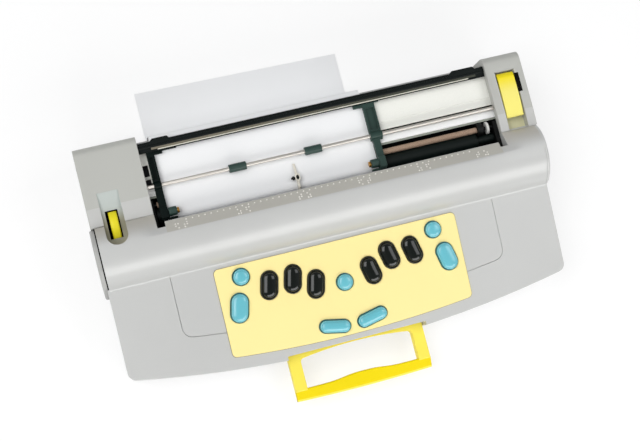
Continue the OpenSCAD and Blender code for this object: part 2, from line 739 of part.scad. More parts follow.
// Tray with its floor, bosses, board posts and the slides of the handle
module base_tray() color([0.72, 0.72, 0.71]) place() difference() {
    union() {
        difference() {
            translate([0, 0, foot_h]) linear_extrude(split_z - foot_h)
                polygon(bowed(body_w / 2, front_bow_r, back_reach, front_corner_r, 6));
            translate([0, 0, foot_h + floor_t]) linear_extrude(split_z)
                polygon(bowed(body_w / 2 - wall, front_bow_r - wall, back_reach - wall,
                    front_corner_r - wall, 6 - wall));
        }
        intersection() {
            translate([0, 0, foot_h]) linear_extrude(split_z - foot_h)
                polygon(bowed(body_w / 2, front_bow_r, back_reach, front_corner_r, 6));
            box(span(0, notch_half + wall), [-front_reach - 1, notch_y + wall], [foot_h, split_z]);
        }
        // Low sill behind the paper bed
        box([left_in + seam, right_in - seam], [back_reach - wall, back_reach], [split_z - 1, split_z + 3]);
        for (b = casing_bosses) cyl_z(b[0], b[1], [foot_h, split_z], boss_r);
        for (s = [-1, 1]) {
            cyl_z(s * cover_boss[0], cover_boss[1], [foot_h, split_z], boss_r - 0.6);
            // Runner under each arm of the handle, and the rail beside it with its lip
            box(span(s * (handle_w - arm_w) / 2, 3), rail_y, [foot_h, handle_z - slide_gap]);
            box(span(s * (handle_w / 2 + slide_gap + 1.2), 1.2), rail_y, [foot_h, rail_z + rail_lip]);
            box(span(s * (handle_w / 2 - 0.9), 1.9), rail_y, from(rail_z, 0, rail_lip));
        }
        for (p = board_posts) cyl_z(p[0], p[1], [foot_h, main_board_z], 3);
        for (x = frame_posts, y = [frame_front + 9, frame_back - 9]) cyl_z(x, y, [foot_h, frame_z], boss_r);
    }
    box(span(0, notch_half), [deck_end, notch_y], [foot_h - 1, split_z + 1]);
    box(span(0, handle_w / 2 + slide_gap), [notch_y - 1, notch_y + wall + 1], [handle_z - slide_gap, rail_z]);
    for (b = casing_bosses) screw_hole(b[0], b[1]);
    for (s = [-1, 1]) screw_hole(s * cover_boss[0], cover_boss[1]);
    cyl_y(power_x, from(back_reach, -wall - 1, 1), socket_z, jack_r + seam);
    box(span(data_x, data_w / 2 + seam), from(back_reach, -wall - 1, 1), span(socket_z, data_h / 2 + seam));
    // Round holes of the speaker
    translate(concat(speaker_at, foot_h - 1)) linear_extrude(floor_t + 2) {
        circle(r = speaker_hole_r);
        for (a = [0:60:300]) rotate(a) translate([speaker_r / 2, 0]) circle(r = speaker_hole_r);
    }
}
module screw_hole(x, y) {
    cyl_z(x, y, [foot_h - 1, split_z + 1], screw_r + seam);
    cyl_z(x, y, from(foot_h, -1, 3), screw_head_r + 0.4);
}

module casing_screws() color([0.6, 0.6, 0.62]) place() {
    for (b = concat(casing_bosses, [for (s = [-1, 1]) [s * cover_boss[0], cover_boss[1]]])) {
        cyl_z(b[0], b[1], from(foot_h, 0.8, 3), screw_head_r);
        cyl_z(b[0], b[1], [foot_h + 2.9, split_z + boss_hole - 2], screw_r);
    }
}
module rubber_feet() color([0.12, 0.12, 0.12]) place() for (f = foot_at) difference() {
    cyl_z(f[0], f[1], [0, foot_h], foot_r);
    cyl_z(f[0], f[1], [-1, 0.8], foot_r / 2);
}

// Loop that slides out of the front; its rear bar stays inside the body
module carry_handle() color([0.98, 0.9, 0.2]) place() {
    half = handle_w / 2;
    gap = half - arm_w;
    rear = notch_y + 18;
    grip_in = -handle_out + grip_d;
    bar_in = notch_y - 6.5;
    bow_h = 8.5;
    bow_rad = (gap * gap + bow_h * bow_h) / (2 * bow_h);
    bow_half = asin(gap / bow_rad);
    difference() {
        translate([0, 0, handle_z]) linear_extrude(handle_t) difference() {
            polygon(rounded([[-half, -handle_out], [half, -handle_out], [half, rear], [-half, rear]],
                [3, 3, 2, 2]));
            polygon(concat(
                [[-gap, grip_in], [-gap / 3, grip_in + 1], [gap / 6, grip_in + 0.6],
                    [gap * 0.45, grip_in - 1.2], [gap, grip_in - 1.6]],
                arc([0, bar_in + bow_h - bow_rad], bow_rad, 90 - bow_half, 90 + bow_half, 14)
            ));
        }
        // The grip's top slopes down to the front edge
        along_x(-half - 1, half + 1) polygon([
            [-handle_out - 1, handle_z + handle_t - 5], [-handle_out + 1.2, handle_z + handle_t - 4.2],
            [grip_in - 2.5, handle_z + handle_t], [grip_in - 2.5, handle_z + handle_t + 1],
            [-handle_out - 1, handle_z + handle_t + 1]
        ]);
    }
}

module hand_wheel() color([0.97, 0.9, 0.15]) place() difference() {
    cyl_x(span(-wheel_x, wheel_w / 2), feed_y, feed_z, wheel_r);
    cyl_x(span(-wheel_x, wheel_w), feed_y, feed_z, feed_shaft_r + fit);
    for (s = [-1, 1]) difference() {
        cyl_x(span(-wheel_x + s * wheel_w / 2, 2.2), feed_y, feed_z, wheel_r - 3);
        cyl_x(span(-wheel_x + s * wheel_w / 2, 3), feed_y, feed_z, feed_shaft_r + 3);
    }
}
module feed_shaft() color([0.7, 0.71, 0.72]) place()
    cyl_x([-wheel_x - wheel_w / 2 - 1, plates[1] + 1.5], feed_y, feed_z, feed_shaft_r);
module feed_roller() color([0.08, 0.13, 0.12]) place() difference() {
    union() {
        cyl_x(feed_ends, feed_y, feed_z, feed_r);
        cyl_x([feed_ends[1] - 1, hub_end], feed_y, feed_z, feed_shaft_r + 1.6);
    }
    cyl_x([feed_ends[0] - 1, hub_end + 1], feed_y, feed_z, feed_shaft_r + fit);
}
module pulley(x, y, z, r, bore) difference() {
    union() {
        cyl_x(span(x, pulley_w / 2), y, z, r - slide_gap);
        for (s = [-1, 1]) cyl_x(span(x + s * (pulley_w / 2 + 0.4), 0.5), y, z, r + 0.8);
    }
    cyl_x(span(x, pulley_w), y, z, bore);
}
module feed_pulley() color([0.85, 0.85, 0.82]) place()
    pulley(feed_belt_x, feed_y, feed_z, feed_pulley_r, feed_shaft_r + fit);
// The pulley with the motor's own turning shaft
module feed_motor_pulley() color([0.75, 0.68, 0.4]) place() {
    pulley(feed_belt_x, feed_motor_at[0], feed_motor_at[1], motor_pulley_r, 1.2);
    cyl_x([feed_belt_x - 4.4, frame_left + 8], feed_motor_at[0], feed_motor_at[1], motor_shaft_r);
}
// Closed loop round two wheels in a plane, t thick
function loop_pts(a, ra, b, rb) =
    let (
        turn = atan2(b[1] - a[1], b[0] - a[0]),
        lean = acos((ra - rb) / norm(b - a))
    )
    concat(arc(a, ra, turn + lean, turn + 360 - lean, 24), arc(b, rb, turn - lean, turn + lean, 24));
module loop_2d(a, ra, b, rb, t) difference() {
    polygon(loop_pts(a, ra + t, b, rb + t));
    polygon(loop_pts(a, ra, b, rb));
}
module feed_belt() color([0.1, 0.1, 0.1]) place()
    along_x(feed_belt_x - belt_w / 2, feed_belt_x + belt_w / 2)
        loop_2d([feed_y, feed_z], feed_pulley_r, feed_motor_at, motor_pulley_r, belt_t);
module feed_motor() color([0.3, 0.3, 0.32]) place() difference() {
    union() {
        box(from(frame_left, 0, feed_motor_len), span(feed_motor_at[0], motor_w / 2),
            span(feed_motor_at[1], motor_w / 2));
        cyl_x([plates[0], frame_left + 1], feed_motor_at[0], feed_motor_at[1], motor_nose_r);
    }
    cyl_x([plates[0] - 1, frame_left + 9], feed_motor_at[0], feed_motor_at[1], motor_shaft_r + run_gap);
}

module friction_roller() color([0.52, 0.38, 0.31]) place() {
    cyl_x(friction_ends, friction_y, friction_z, friction_r);
    // Two discs fixed on the roller's end
    for (x = discs) difference() {
        cyl_x(x, friction_y, friction_z, disc_r);
        cyl_x(x + [-1, 1], friction_y, friction_z, stub_r + fit);
    }
    cyl_x(plates + [-0.6, 0.6], friction_y, friction_z, stub_r);
}

// Black plastic blocks that hold the ends of the two long rollers
module roller_bearings() color([0.06, 0.07, 0.07]) place() for (x = blocks) difference() {
    box(x, block_y, block_z);
    cyl_x(x + [-1, 1], feed_y, feed_z, feed_shaft_r + run_gap);
    cyl_x(x + [-1, 1], friction_y, friction_z, stub_r + run_gap);
}

module release_lever() color([0.98, 0.93, 0.3]) place() {
    x = span(lever_x, lever_w / 2);
    top = cover_z - 0.4;
    along_x(x[0], x[1]) polygon([
        [lever_front, ledge_at(cover_front) - 0.6 - lever_t], [lever_pivot_y - 12, top - lever_t - 0.6],
        [lever_pivot_y - 3.6, lever_pivot_z - 2], [lever_pivot_y + lever_hub_r - 0.4, lever_pivot_z + 1],
        [lever_pivot_y + 3, lever_pivot_z + 4], [lever_pivot_y - 1.5, top - 0.8],
        [lever_pivot_y - 5, top], [lever_pivot_y - 24, top], [lever_front, ledge_at(cover_front) - 0.2]
    ]);
    cyl_x(x, lever_pivot_y, lever_pivot_z, lever_hub_r);
    cyl_x(span(lever_x, slot_half + wall - 0.4), lever_pivot_y, lever_pivot_z, lever_pin_r);
}

// Channel over the sheet along the back of the paper bed, with a hump near each end
module rear_paper_bar() color([0.1, 0.11, 0.11]) place() {
    low = bar_low;
    rear = bar_back - 2.8;
    along_x(left_in + seam, right_in - seam) polygon([
        [bar_front, low], [bar_back, low], [bar_back, low + 4.6], [bar_back - 1, low + 5.4],
        felt_b + [0.6, 2.2], felt_b, felt_a, felt_a + [-0.4, 1.2], [bar_front, low + 2.8]
    ]);
    for (x = bar_humps) along_x(x[0], x[1]) polygon([
        [rear, low + 2], [bar_back + 2.4, low + 3], [bar_back + 2.4, low + 5.6], [bar_back, low + 7],
        [rear, low + 7]
    ]);
    for (x = [from(left_in, seam, bar_leg), from(right_in, -bar_leg, -seam)])
        box(x, [bar_front, table_back], [bed_z, low + 1]);
}
module bar_felt_strip() color([0.42, 0.38, 0.35]) place()
    along_x(left_in + 2, right_in - 2) polygon([felt_a, felt_b, felt_b + [0, 0.8], felt_a + [0, 0.8]]);
// Both lie between the chassis plates, with ends that rest on them
module paper_table() color([0.92, 0.92, 0.89]) place() difference() {
    step_y = table_front + 7.9;
    low = bed_z - table_t;
    union() {
        along_x(frame_left, frame_right) polygon([
            [table_front, low], [table_back, low], [table_back, bed_z], [step_y, bed_z],
            [step_y - 0.4, bed_z - table_step], [table_front, bed_z - table_step]
        ]);
        box(plates, [step_y, table_back], [low, bed_z - table_step]);
    }
    // Openings beside the left guide
    for (y = [[table_front - 1, table_front + 3.8], [step_y - 1.1, step_y + 9.8]])
        box([left_in - 1, left_in + 5.6], y, from(low, -1, table_t + 2));
}
module platen_strip() color([0.95, 0.96, 0.96]) place() {
    y = platen_y;
    edge = 0.8;
    along_x(frame_left, frame_right) polygon([
        [y[0], bed_z - platen_t], [y[1], bed_z - platen_t], [y[1], bed_z - edge], [y[1] - edge, bed_z],
        [y[0] + edge, bed_z], [y[0], bed_z - edge]
    ]);
    box(plates, from(y[0], 0, 3.4), [bed_z - platen_t, bed_z - edge]);
}
module bail_rod() color([0.78, 0.78, 0.78]) place()
    cyl_x(plates, bail_y, bail_z, bail_r);
module bail_roller(x) place() difference() {
    cyl_x(span(x, bail_roller_len / 2), bail_y, bail_z, bail_roller_r);
    cyl_x(span(x, bail_roller_len), bail_y, bail_z, bail_r + run_gap);
}
module left_bail_roller() color([0.12, 0.2, 0.19]) bail_roller(bail_roller_at[0] - paper_left);
module right_bail_roller() color([0.12, 0.2, 0.19]) bail_roller(bail_roller_at[1] - paper_left);

// Sliding paper guide: arm over the bed, narrower foot, tabs along the rear bar and the
// pin of its pinch roller. Spans arm and low are the arm's and the foot's sides, inward is
// 1 where the sheet lies to the right, tabs are the reach of its thick tab, of its thin
// tab and of the one on its outer side.
function reach(x, inward, d0, d1) = inward > 0 ? from(x[1], d0, d1) : from(x[0], -d1, -d0);
module guide(arm, low, inward, tabs) difference() {
    hub_r = bail_r + 1.9;
    union() {
        box(arm, [bail_y - 5, guide_back], from(guide_z, 0, guide_t));
        box(low, [guide_front, bail_y - 4.9], from(guide_z, 0, guide_t));
        box(reach(arm, inward, -1, tabs[0]), from(guide_back, -4, 0), from(guide_z, 0, guide_tab_t));
        box(reach(arm, inward, -1, tabs[1]), from(guide_back, -1.6, 0), from(guide_z, 0, guide_tab_t));
        box(reach(arm, -inward, -1, tabs[2]), from(guide_back, -1.6, 0), from(guide_z, 0, guide_tab_t));
        box(reach(low, inward, -1, pinch_len), from(guide_front, -0.6, 1.4), from(guide_z, 0, 3));
        box(low, span(feed_y, 5.2), [guide_z, pinch_z + 3]);
        cyl_x(arm, bail_y, bail_z, hub_r);
        box(arm, span(bail_y, hub_r), [guide_z, bail_z]);
        cyl_x(reach(low, inward, -1, pinch_len + 1.6), feed_y, pinch_z, stub_r);
        cyl_x(reach(low, inward, pinch_len + 0.7, pinch_len + 2.7), feed_y, pinch_z, stub_r + 1.2);
    }
    cyl_x(arm + [-1, 1], bail_y, bail_z, bail_r + run_gap);
    // Hollow in the top of the arm's rear half
    box(arm + [2, -1.6], [bail_y + 6, guide_back - 6], [guide_z + 1.6, guide_z + guide_t + 1]);
}
module left_paper_guide() color([0.1, 0.14, 0.13]) place() guide(left_arm, left_arm, 1, [8, 22, 0]);
module right_paper_guide() color([0.25, 0.29, 0.28]) place() guide(right_arm, right_foot, -1, [9, 9, 5]);
module pinch_roller(x) place() difference() {
    cyl_x(x, feed_y, pinch_z, pinch_r);
    cyl_x(x + [-1, 1], feed_y, pinch_z, stub_r + run_gap);
}
module left_pinch_roller() color([0.15, 0.18, 0.18])
    pinch_roller(reach(left_arm, 1, 0.4, 0.4 + pinch_len));
module right_pinch_roller() color([0.15, 0.18, 0.18])
    pinch_roller(reach(right_foot, -1, 0.4, 0.4 + pinch_len));

module embossing_carriage() color([0.2, 0.21, 0.23]) place() {
    x = span(carriage_x, carriage_w / 2);
    run_z = drive_z + pulley_r + belt_t / 2;
    difference() {
        union() {
            box(x, carriage_y, [drive_z - 2, carriage_top]);
            // Clamp on the belt's upper run
            box(span(carriage_x, clamp_half), [belt_y - 5, carriage_y[0] + 0.1], span(run_z, 3.4));
            // Head with two rows of magnets
            box(span(carriage_x, head_half), from(head_y, -1, head_d), from(carriage_top, -0.1, 2));
            for (i = [0:5])
                cyl_z(carriage_x + magnet_gap[0] * (i % 3 - 1), head_y + magnet_gap[1] * floor(i / 3),
                    from(carriage_top, -0.1, 4), magnet_r);
        }
        for (p = rod_at) cyl_x(x + [-1, 1], p[0], p[1], rod_r + run_gap);
        box(x + [-1, 1], span(belt_y, belt_w / 2 + slide_gap), span(run_z, belt_t / 2 + slide_gap));
    }
}
// Thin arm that reaches from the head over the sheet, with a small pin on its side
module head_finger() color([0.85, 0.84, 0.82]) place() {
    top = carriage_top + 4;
    tip = platen_y[0] - 0.5;
    pin_y = feed_y + 4.1;
    along_x(carriage_x - 1.2, carriage_x + 1.2) polygon([
        [head_y + 4, top], [head_y + 15, top], [head_y + 20, guide_z + 1.4], [tip, guide_z + 0.6],
        [tip, guide_z + 1.6], [pin_y + 2.5, guide_z + 3.6], [head_y + 20, guide_z + 4.4],
        [head_y + 13, top + 2.4], [head_y + 4, top + 2.4]
    ]);
    cyl_x(from(carriage_x, -6, -1.1), pin_y, guide_z + 2.4, 1.1);
}
module carriage_rods() color([0.75, 0.76, 0.77]) place()
    for (p = rod_at) cyl_x(plates, p[0], p[1], rod_r);
module carriage_belt() color([0.12, 0.12, 0.12]) place()
    translate([0, belt_y + belt_w / 2, 0]) rotate([90, 0, 0]) linear_extrude(belt_w)
        loop_2d([idler_x, drive_z], pulley_r, [drive_x, drive_z], pulley_r, belt_t);
module belt_pulley(x, bore) difference() {
    union() {
        cyl_y(x, span(belt_y, pulley_w / 2), drive_z, pulley_r - slide_gap);
        for (s = [-1, 1])
            cyl_y(x, span(belt_y + s * (pulley_w / 2 + 0.4), 0.5), drive_z, pulley_r + 0.8);
    }
    cyl_y(x, span(belt_y, pulley_w), drive_z, bore);
}
module drive_pulley() color([0.75, 0.68, 0.4]) place() {
    belt_pulley(drive_x, 0.9);
    cyl_y(drive_x, [frame_front - 6, belt_y + 4.6], drive_z, motor_shaft_r);
}
module idler_pulley() color([0.85, 0.85, 0.82]) place() belt_pulley(idler_x, motor_shaft_r + run_gap);
module carriage_motor() color([0.3, 0.3, 0.32]) place() difference() {
    union() {
        box(span(drive_x, motor_w / 2), from(frame_front, -motor_w, 0), span(drive_z, motor_w / 2));
        cyl_y(drive_x, from(frame_front, -1, sheet_t), drive_z, motor_nose_r);
    }
    cyl_y(drive_x, from(frame_front, -7, sheet_t + 1), drive_z, motor_shaft_r + run_gap);
}

// Side plate of the chassis, seen from the right
module side_plate_profile() difference() {
    polygon([
        [frame_front, frame_z], [frame_back, frame_z], [frame_back, bed_z - table_t],
        [bail_y + tower, bed_z - table_t], [bail_y + tower, bail_z + bail_r + 0.5],
        [bail_y - tower, bail_z + bail_r + 0.5], [bail_y - tower, bed_z - platen_t],
        [platen_y[0] - 1, bed_z - platen_t], [platen_y[0] - 1, bed_z - 0.5], [feed_y + 5.6, bed_z - 0.5],
        [bed_front - 4.6, bed_z - 3.9], [frame_front + 10, bed_z - 3.9], [frame_front, bed_z - 12]
    ]);
    translate([feed_y, feed_z]) circle(r = feed_shaft_r + run_gap);
    translate([friction_y, friction_z]) circle(r = stub_r + run_gap);
    translate([bail_y, bail_z]) circle(r = bail_r + fit);
    for (p = rod_at) translate(p) circle(r = rod_r + fit);
}
module chassis_frame() color([0.62, 0.64, 0.65]) place() {
    inside = [frame_left - 0.1, frame_right + 0.1];
    difference() {
        union() {
            along_x(plates[0], frame_left) side_plate_profile();
            along_x(frame_right, plates[1]) side_plate_profile();
            box(inside, [frame_front, frame_back], from(frame_z, 0, sheet_t));
            box(inside, from(frame_front, 0, sheet_t), from(frame_z, 0, 35));
            box(inside, from(frame_back, -sheet_t, 0), [frame_z, bed_z - table_t]);
        }
        // Seats of the two motors' round fronts
        cyl_y(drive_x, from(frame_front, -1, sheet_t + 1), drive_z, motor_nose_r + run_gap);
        cyl_x([plates[0] - 1, frame_left + 1], feed_motor_at[0], feed_motor_at[1], motor_nose_r + run_gap);
    }
    cyl_y(idler_x, [frame_front + sheet_t - 0.1, belt_y + 4.6], drive_z, motor_shaft_r);
}

module main_board() color([0.12, 0.38, 0.25]) place() {
    on_top = board_t - 0.1;
    corner = [main_board_x[0], main_board_y[0]];
    box(main_board_x, main_board_y, from(main_board_z, 0, board_t));
    for (c = chips)
        box(span(corner[0] + c[0], c[2]), span(corner[1] + c[1], chip_half), from(main_board_z, on_top, 4));
    for (i = [0:3])
        cyl_z(corner[0] + round_parts[0] + round_parts[1] * i, main_board_y[1] - round_parts[2],
            from(main_board_z, on_top, 9), round_part_r);
}
module battery_pack() color([0.2, 0.3, 0.5]) place() box(battery_x, battery_y, from(floor_z, 0, battery_h));
module speaker() color([0.15, 0.15, 0.16]) place() translate(concat(speaker_at, floor_z)) difference() {
    union() {
        cylinder(h = 3, r = speaker_r);
        cylinder(h = 11, r = speaker_r - 5);
    }
    translate([0, 0, -1]) cylinder(h = 3, r = speaker_r - 4);
}
// Power inlet and data socket in the back wall, their faces just outside it
module rear_sockets() color([0.1, 0.1, 0.11]) place() {
    inner = back_reach - wall;
    face = back_reach + 0.2;
    difference() {
        union() {
            cyl_y(power_x, [inner - 1, face], socket_z, jack_r);
            box(span(power_x, 6), from(inner, -socket_deep, -0.2), [floor_z, socket_z + 5.5]);
        }
        cyl_y(power_x, [back_reach - 12, back_reach + 1], socket_z, jack_r - 1.4);
    }
    difference() {
        union() {
            box(span(data_x, data_w / 2), [inner - 1, face], span(socket_z, data_h / 2));
            box(span(data_x, 7), from(inner, -socket_deep, -0.2), [floor_z, socket_z + 6]);
        }
        box(span(data_x, data_w / 2 - 1.2), [back_reach - 10, back_reach + 1],
            span(socket_z, data_h / 2 - 1.2));
    }
}

module paper_sheet() color([0.95, 0.95, 0.95]) place() difference() {
    c = [feed_y, feed_z];
    end_a = 90 + paper_wrap;
    tail = paper_tail * [-sin(end_a), cos(end_a)];
    outer = sheet_mid - feed_z + paper_t / 2;
    inner = outer - paper_t;
    half = paper_t / 2;
    along_x(-paper_left, paper_right) polygon(concat(
        [c + outer * [cos(end_a), sin(end_a)] + tail],
        arc(c, outer, end_a, 90, 16),
        arc(bend, bend_r + half, 90, 90 - paper_drop, 10),
        arc(foot_bend, foot_bend_r - half, 270 - paper_drop, 270, 10),
        [[rear_y, sheet_low + half], [rear_y, sheet_low - half]],
        arc(foot_bend, foot_bend_r + half, 270, 270 - paper_drop, 10),
        arc(bend, bend_r - half, 90 - paper_drop, 90, 10),
        arc(c, inner, 90, end_a, 16),
        [c + inner * [cos(end_a), sin(end_a)] + tail]
    ));
    // The back edge lies a little askew
    linear_extrude(sheet_low + 1) polygon([
        [-paper_left - 1, rear_y], [paper_right + 1, rear_y - paper_skew], [paper_right + 1, rear_y + 1],
        [-paper_left - 1, rear_y + 1]
    ]);
}

base_tray();
top_casing();
left_end_cover();
right_end_cover();
left_side_cheek();
right_side_cheek();
keyboard_insert();
key_panel();
keyboard_board();
key_switches();
dot_1_key();
dot_2_key();
dot_3_key();
dot_4_key();
dot_5_key();
dot_6_key();
left_round_key();
right_round_key();
middle_round_key();
left_side_key();
right_side_key();
left_space_key();
right_space_key();
carry_handle();
hand_wheel();
feed_roller();
feed_shaft();
feed_pulley();
feed_belt();
feed_motor();
feed_motor_pulley();
friction_roller();
roller_bearings();
release_lever();
rear_paper_bar();
bar_felt_strip();
paper_table();
platen_strip();
bail_rod();
left_bail_roller();
right_bail_roller();
left_paper_guide();
right_paper_guide();
left_pinch_roller();
right_pinch_roller();
embossing_carriage();
head_finger();
carriage_rods();
carriage_belt();
carriage_motor();
drive_pulley();
idler_pulley();
chassis_frame();
main_board();
battery_pack();
speaker();
rear_sockets();
rubber_feet();
casing_screws();
paper_sheet();
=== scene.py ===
import json
import math

import bmesh
import bpy
from mathutils import Matrix, Vector

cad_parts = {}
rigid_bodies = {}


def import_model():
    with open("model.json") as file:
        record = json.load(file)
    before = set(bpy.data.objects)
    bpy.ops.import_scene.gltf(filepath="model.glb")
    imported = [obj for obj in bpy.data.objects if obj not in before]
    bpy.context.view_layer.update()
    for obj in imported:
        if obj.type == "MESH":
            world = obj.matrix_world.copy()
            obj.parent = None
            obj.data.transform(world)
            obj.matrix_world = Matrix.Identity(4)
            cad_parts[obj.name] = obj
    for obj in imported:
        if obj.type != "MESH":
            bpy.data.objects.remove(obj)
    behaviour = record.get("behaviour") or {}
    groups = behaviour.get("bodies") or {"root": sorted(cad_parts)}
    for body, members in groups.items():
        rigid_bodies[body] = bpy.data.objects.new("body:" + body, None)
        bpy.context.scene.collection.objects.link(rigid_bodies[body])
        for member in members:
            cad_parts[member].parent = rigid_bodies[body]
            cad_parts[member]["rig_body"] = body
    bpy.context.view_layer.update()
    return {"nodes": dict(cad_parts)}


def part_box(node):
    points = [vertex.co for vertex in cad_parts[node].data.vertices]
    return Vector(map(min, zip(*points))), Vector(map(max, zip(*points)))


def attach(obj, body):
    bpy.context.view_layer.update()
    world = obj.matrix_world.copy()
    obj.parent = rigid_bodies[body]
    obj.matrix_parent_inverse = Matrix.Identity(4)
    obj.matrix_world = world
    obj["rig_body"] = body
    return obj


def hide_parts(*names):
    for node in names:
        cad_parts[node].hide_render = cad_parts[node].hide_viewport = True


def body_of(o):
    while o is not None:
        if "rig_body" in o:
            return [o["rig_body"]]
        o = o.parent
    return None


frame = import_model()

NODES = frame["nodes"]
MM = 0.001
# Sizes are in millimetres, and y counts from the line where the hood meets the deck. FEED is the hand
# wheel's axle, (y, z), and OFF turns such a y into the frame's.
FEED = (57.4, 55.5)
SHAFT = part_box("feed_shaft")
OFF = (SHAFT[0].y + SHAFT[1].y) / 2 / MM - FEED[0]


def P(x, y, z):
    """A point in millimetres from the hood line, in the frame's metres."""
    return Vector((x, y + OFF, z)) * MM


def from_hood(p):
    """The reverse of P: millimetres from the hood line for a point in the frame's metres."""
    return Vector((p.x / MM, p.y / MM - OFF, p.z / MM))


# Camera and light

EYE = P(-208.19, -97.18, 1227.25)
AIM = P(-7.25, 18.23, 45.0)
ROLL = -14.54
LENS = 69.4
# Strength of the world at the horizon and overhead
HORIZON = 0.4
ZENITH = 0.24
# The floor's size in metres, its colour in the light, and its glow and shade as the camera sees it
FLOOR = 8
FLOOR_COLOR = (0.93, 0.93, 0.93)
GLOW = 0.66
FAINT = 0.36


def make_camera():
    """Camera at EYE that looks at AIM, rolled by ROLL degrees."""
    cam = bpy.data.cameras.new("camera")
    cam.sensor_fit = "HORIZONTAL"
    cam.sensor_width = 36.0
    cam.lens = LENS
    cam.clip_end = 20.0
    ob = bpy.data.objects.new("camera", cam)
    bpy.context.scene.collection.objects.link(ob)
    fwd = (AIM - EYE).normalized()
    right = fwd.cross(Vector((0, 1, 0))).normalized()
    up = right.cross(fwd)
    a = math.radians(ROLL)
    r = right * math.cos(a) + up * math.sin(a)
    u = -right * math.sin(a) + up * math.cos(a)
    m = Matrix((r, u, -fwd)).transposed().to_4x4()
    m.translation = EYE
    ob.matrix_world = m
    bpy.context.scene.camera = ob


def area(name, at, aim, size, power, color=(1, 1, 1)):
    """Rectangular lamp that faces the point aim and stays out of the picture."""
    light = bpy.data.lights.new(name, "AREA")
    light.shape = "RECTANGLE"
    light.size, light.size_y = size
    light.energy = power
    light.color = color
    ob = bpy.data.objects.new(name, light)
    bpy.context.scene.collection.objects.link(ob)
    ob.location = at
    ob.rotation_euler = (Vector(aim) - Vector(at)).to_track_quat("-Z", "Y").to_euler()
    ob.visible_camera = False


def make_light():
    """Pale studio: brighter towards the horizon, a low softbox in front and one above on each side."""
    world = bpy.data.worlds.new("studio")
    world.use_nodes = True
    nt = world.node_tree
    bg = nt.nodes["Background"]
    bg.inputs["Color"].default_value = (0.97, 0.985, 1.0, 1)
    split = nt.nodes.new("ShaderNodeSeparateXYZ")
    nt.links.new(nt.nodes.new("ShaderNodeTexCoord").outputs["Generated"], split.inputs[0])
    fade = nt.nodes.new("ShaderNodeMapRange")
    fade.inputs["To Min"].default_value = HORIZON
    fade.inputs["To Max"].default_value = ZENITH
    nt.links.new(split.outputs["Z"], fade.inputs["Value"])
    nt.links.new(fade.outputs["Result"], bg.inputs["Strength"])
    bpy.context.scene.world = world
    bpy.context.scene.view_settings.view_transform = "Standard"
    area("front_softbox", (0.2, -1.27, 0.78), (0.02, 0.02, 0.05), (1.9, 0.72), 13.2, (1.0, 0.995, 0.98))
    area("left_softbox", (-1.2, 0.3, 1.8), (0, 0, 0.05), (2.0, 1.5), 25)
    area("right_softbox", (1.15, 0.0, 1.45), (0.05, 0, 0.05), (1.0, 1.0), 6, (0.98, 0.99, 1.0))


# Materials

# Scale of the slow drift in the colour of each material
DRIFT = 9.0


def ramp(nt, fac, stops):
    """Colour ramp over fac; each stop is a place and a colour."""
    n = nt.nodes.new("ShaderNodeValToRGB")
    while len(n.color_ramp.elements) < len(stops):
        n.color_ramp.elements.new(0.5)
    for e, (p, c) in zip(n.color_ramp.elements, stops):
        e.position = p
        e.color = (*c, 1)
    nt.links.new(fac, n.inputs["Fac"])
    return n.outputs["Color"]


def noise(nt, co, scale, detail, rough=0.5):
    n = nt.nodes.new("ShaderNodeTexNoise")
    n.inputs["Scale"].default_value = scale
    n.inputs["Detail"].default_value = detail
    n.inputs["Roughness"].default_value = rough
    nt.links.new(co, n.inputs["Vector"])
    return n.outputs["Fac"]


def mixed(nt, kind, fac, a, b):
    """Colour of a Mix node of that kind; fac, a and b are sockets or plain values."""
    n = nt.nodes.new("ShaderNodeMix")
    n.data_type = "RGBA"
    n.blend_type = kind
    for name, v in (("Factor", fac), ("A", a), ("B", b)):
        if isinstance(v, bpy.types.NodeSocket):
            nt.links.new(v, n.inputs[name])
        else:
            n.inputs[name].default_value = v
    return n.outputs["Result"]


def lin(c):
    """Linear colour from one written as it shows on a screen."""
    return tuple(v / 12.92 if v <= 0.04045 else ((v + 0.055) / 1.055) ** 2.4 for v in c)


def spread(color, vary):
    """Ramp stops from a little darker to a little lighter than the colour."""
    return [(at, tuple(min(1.0, v * k) for v in lin(color)))
            for at, k in ((0.3, 1 - vary), (0.7, 1 + vary))]


def along_y(y0, y1, color):
    """Value of material's fade: to a second colour between two distances from the hood line."""
    return 1, (OFF + y0) * MM, (OFF + y1) * MM, color


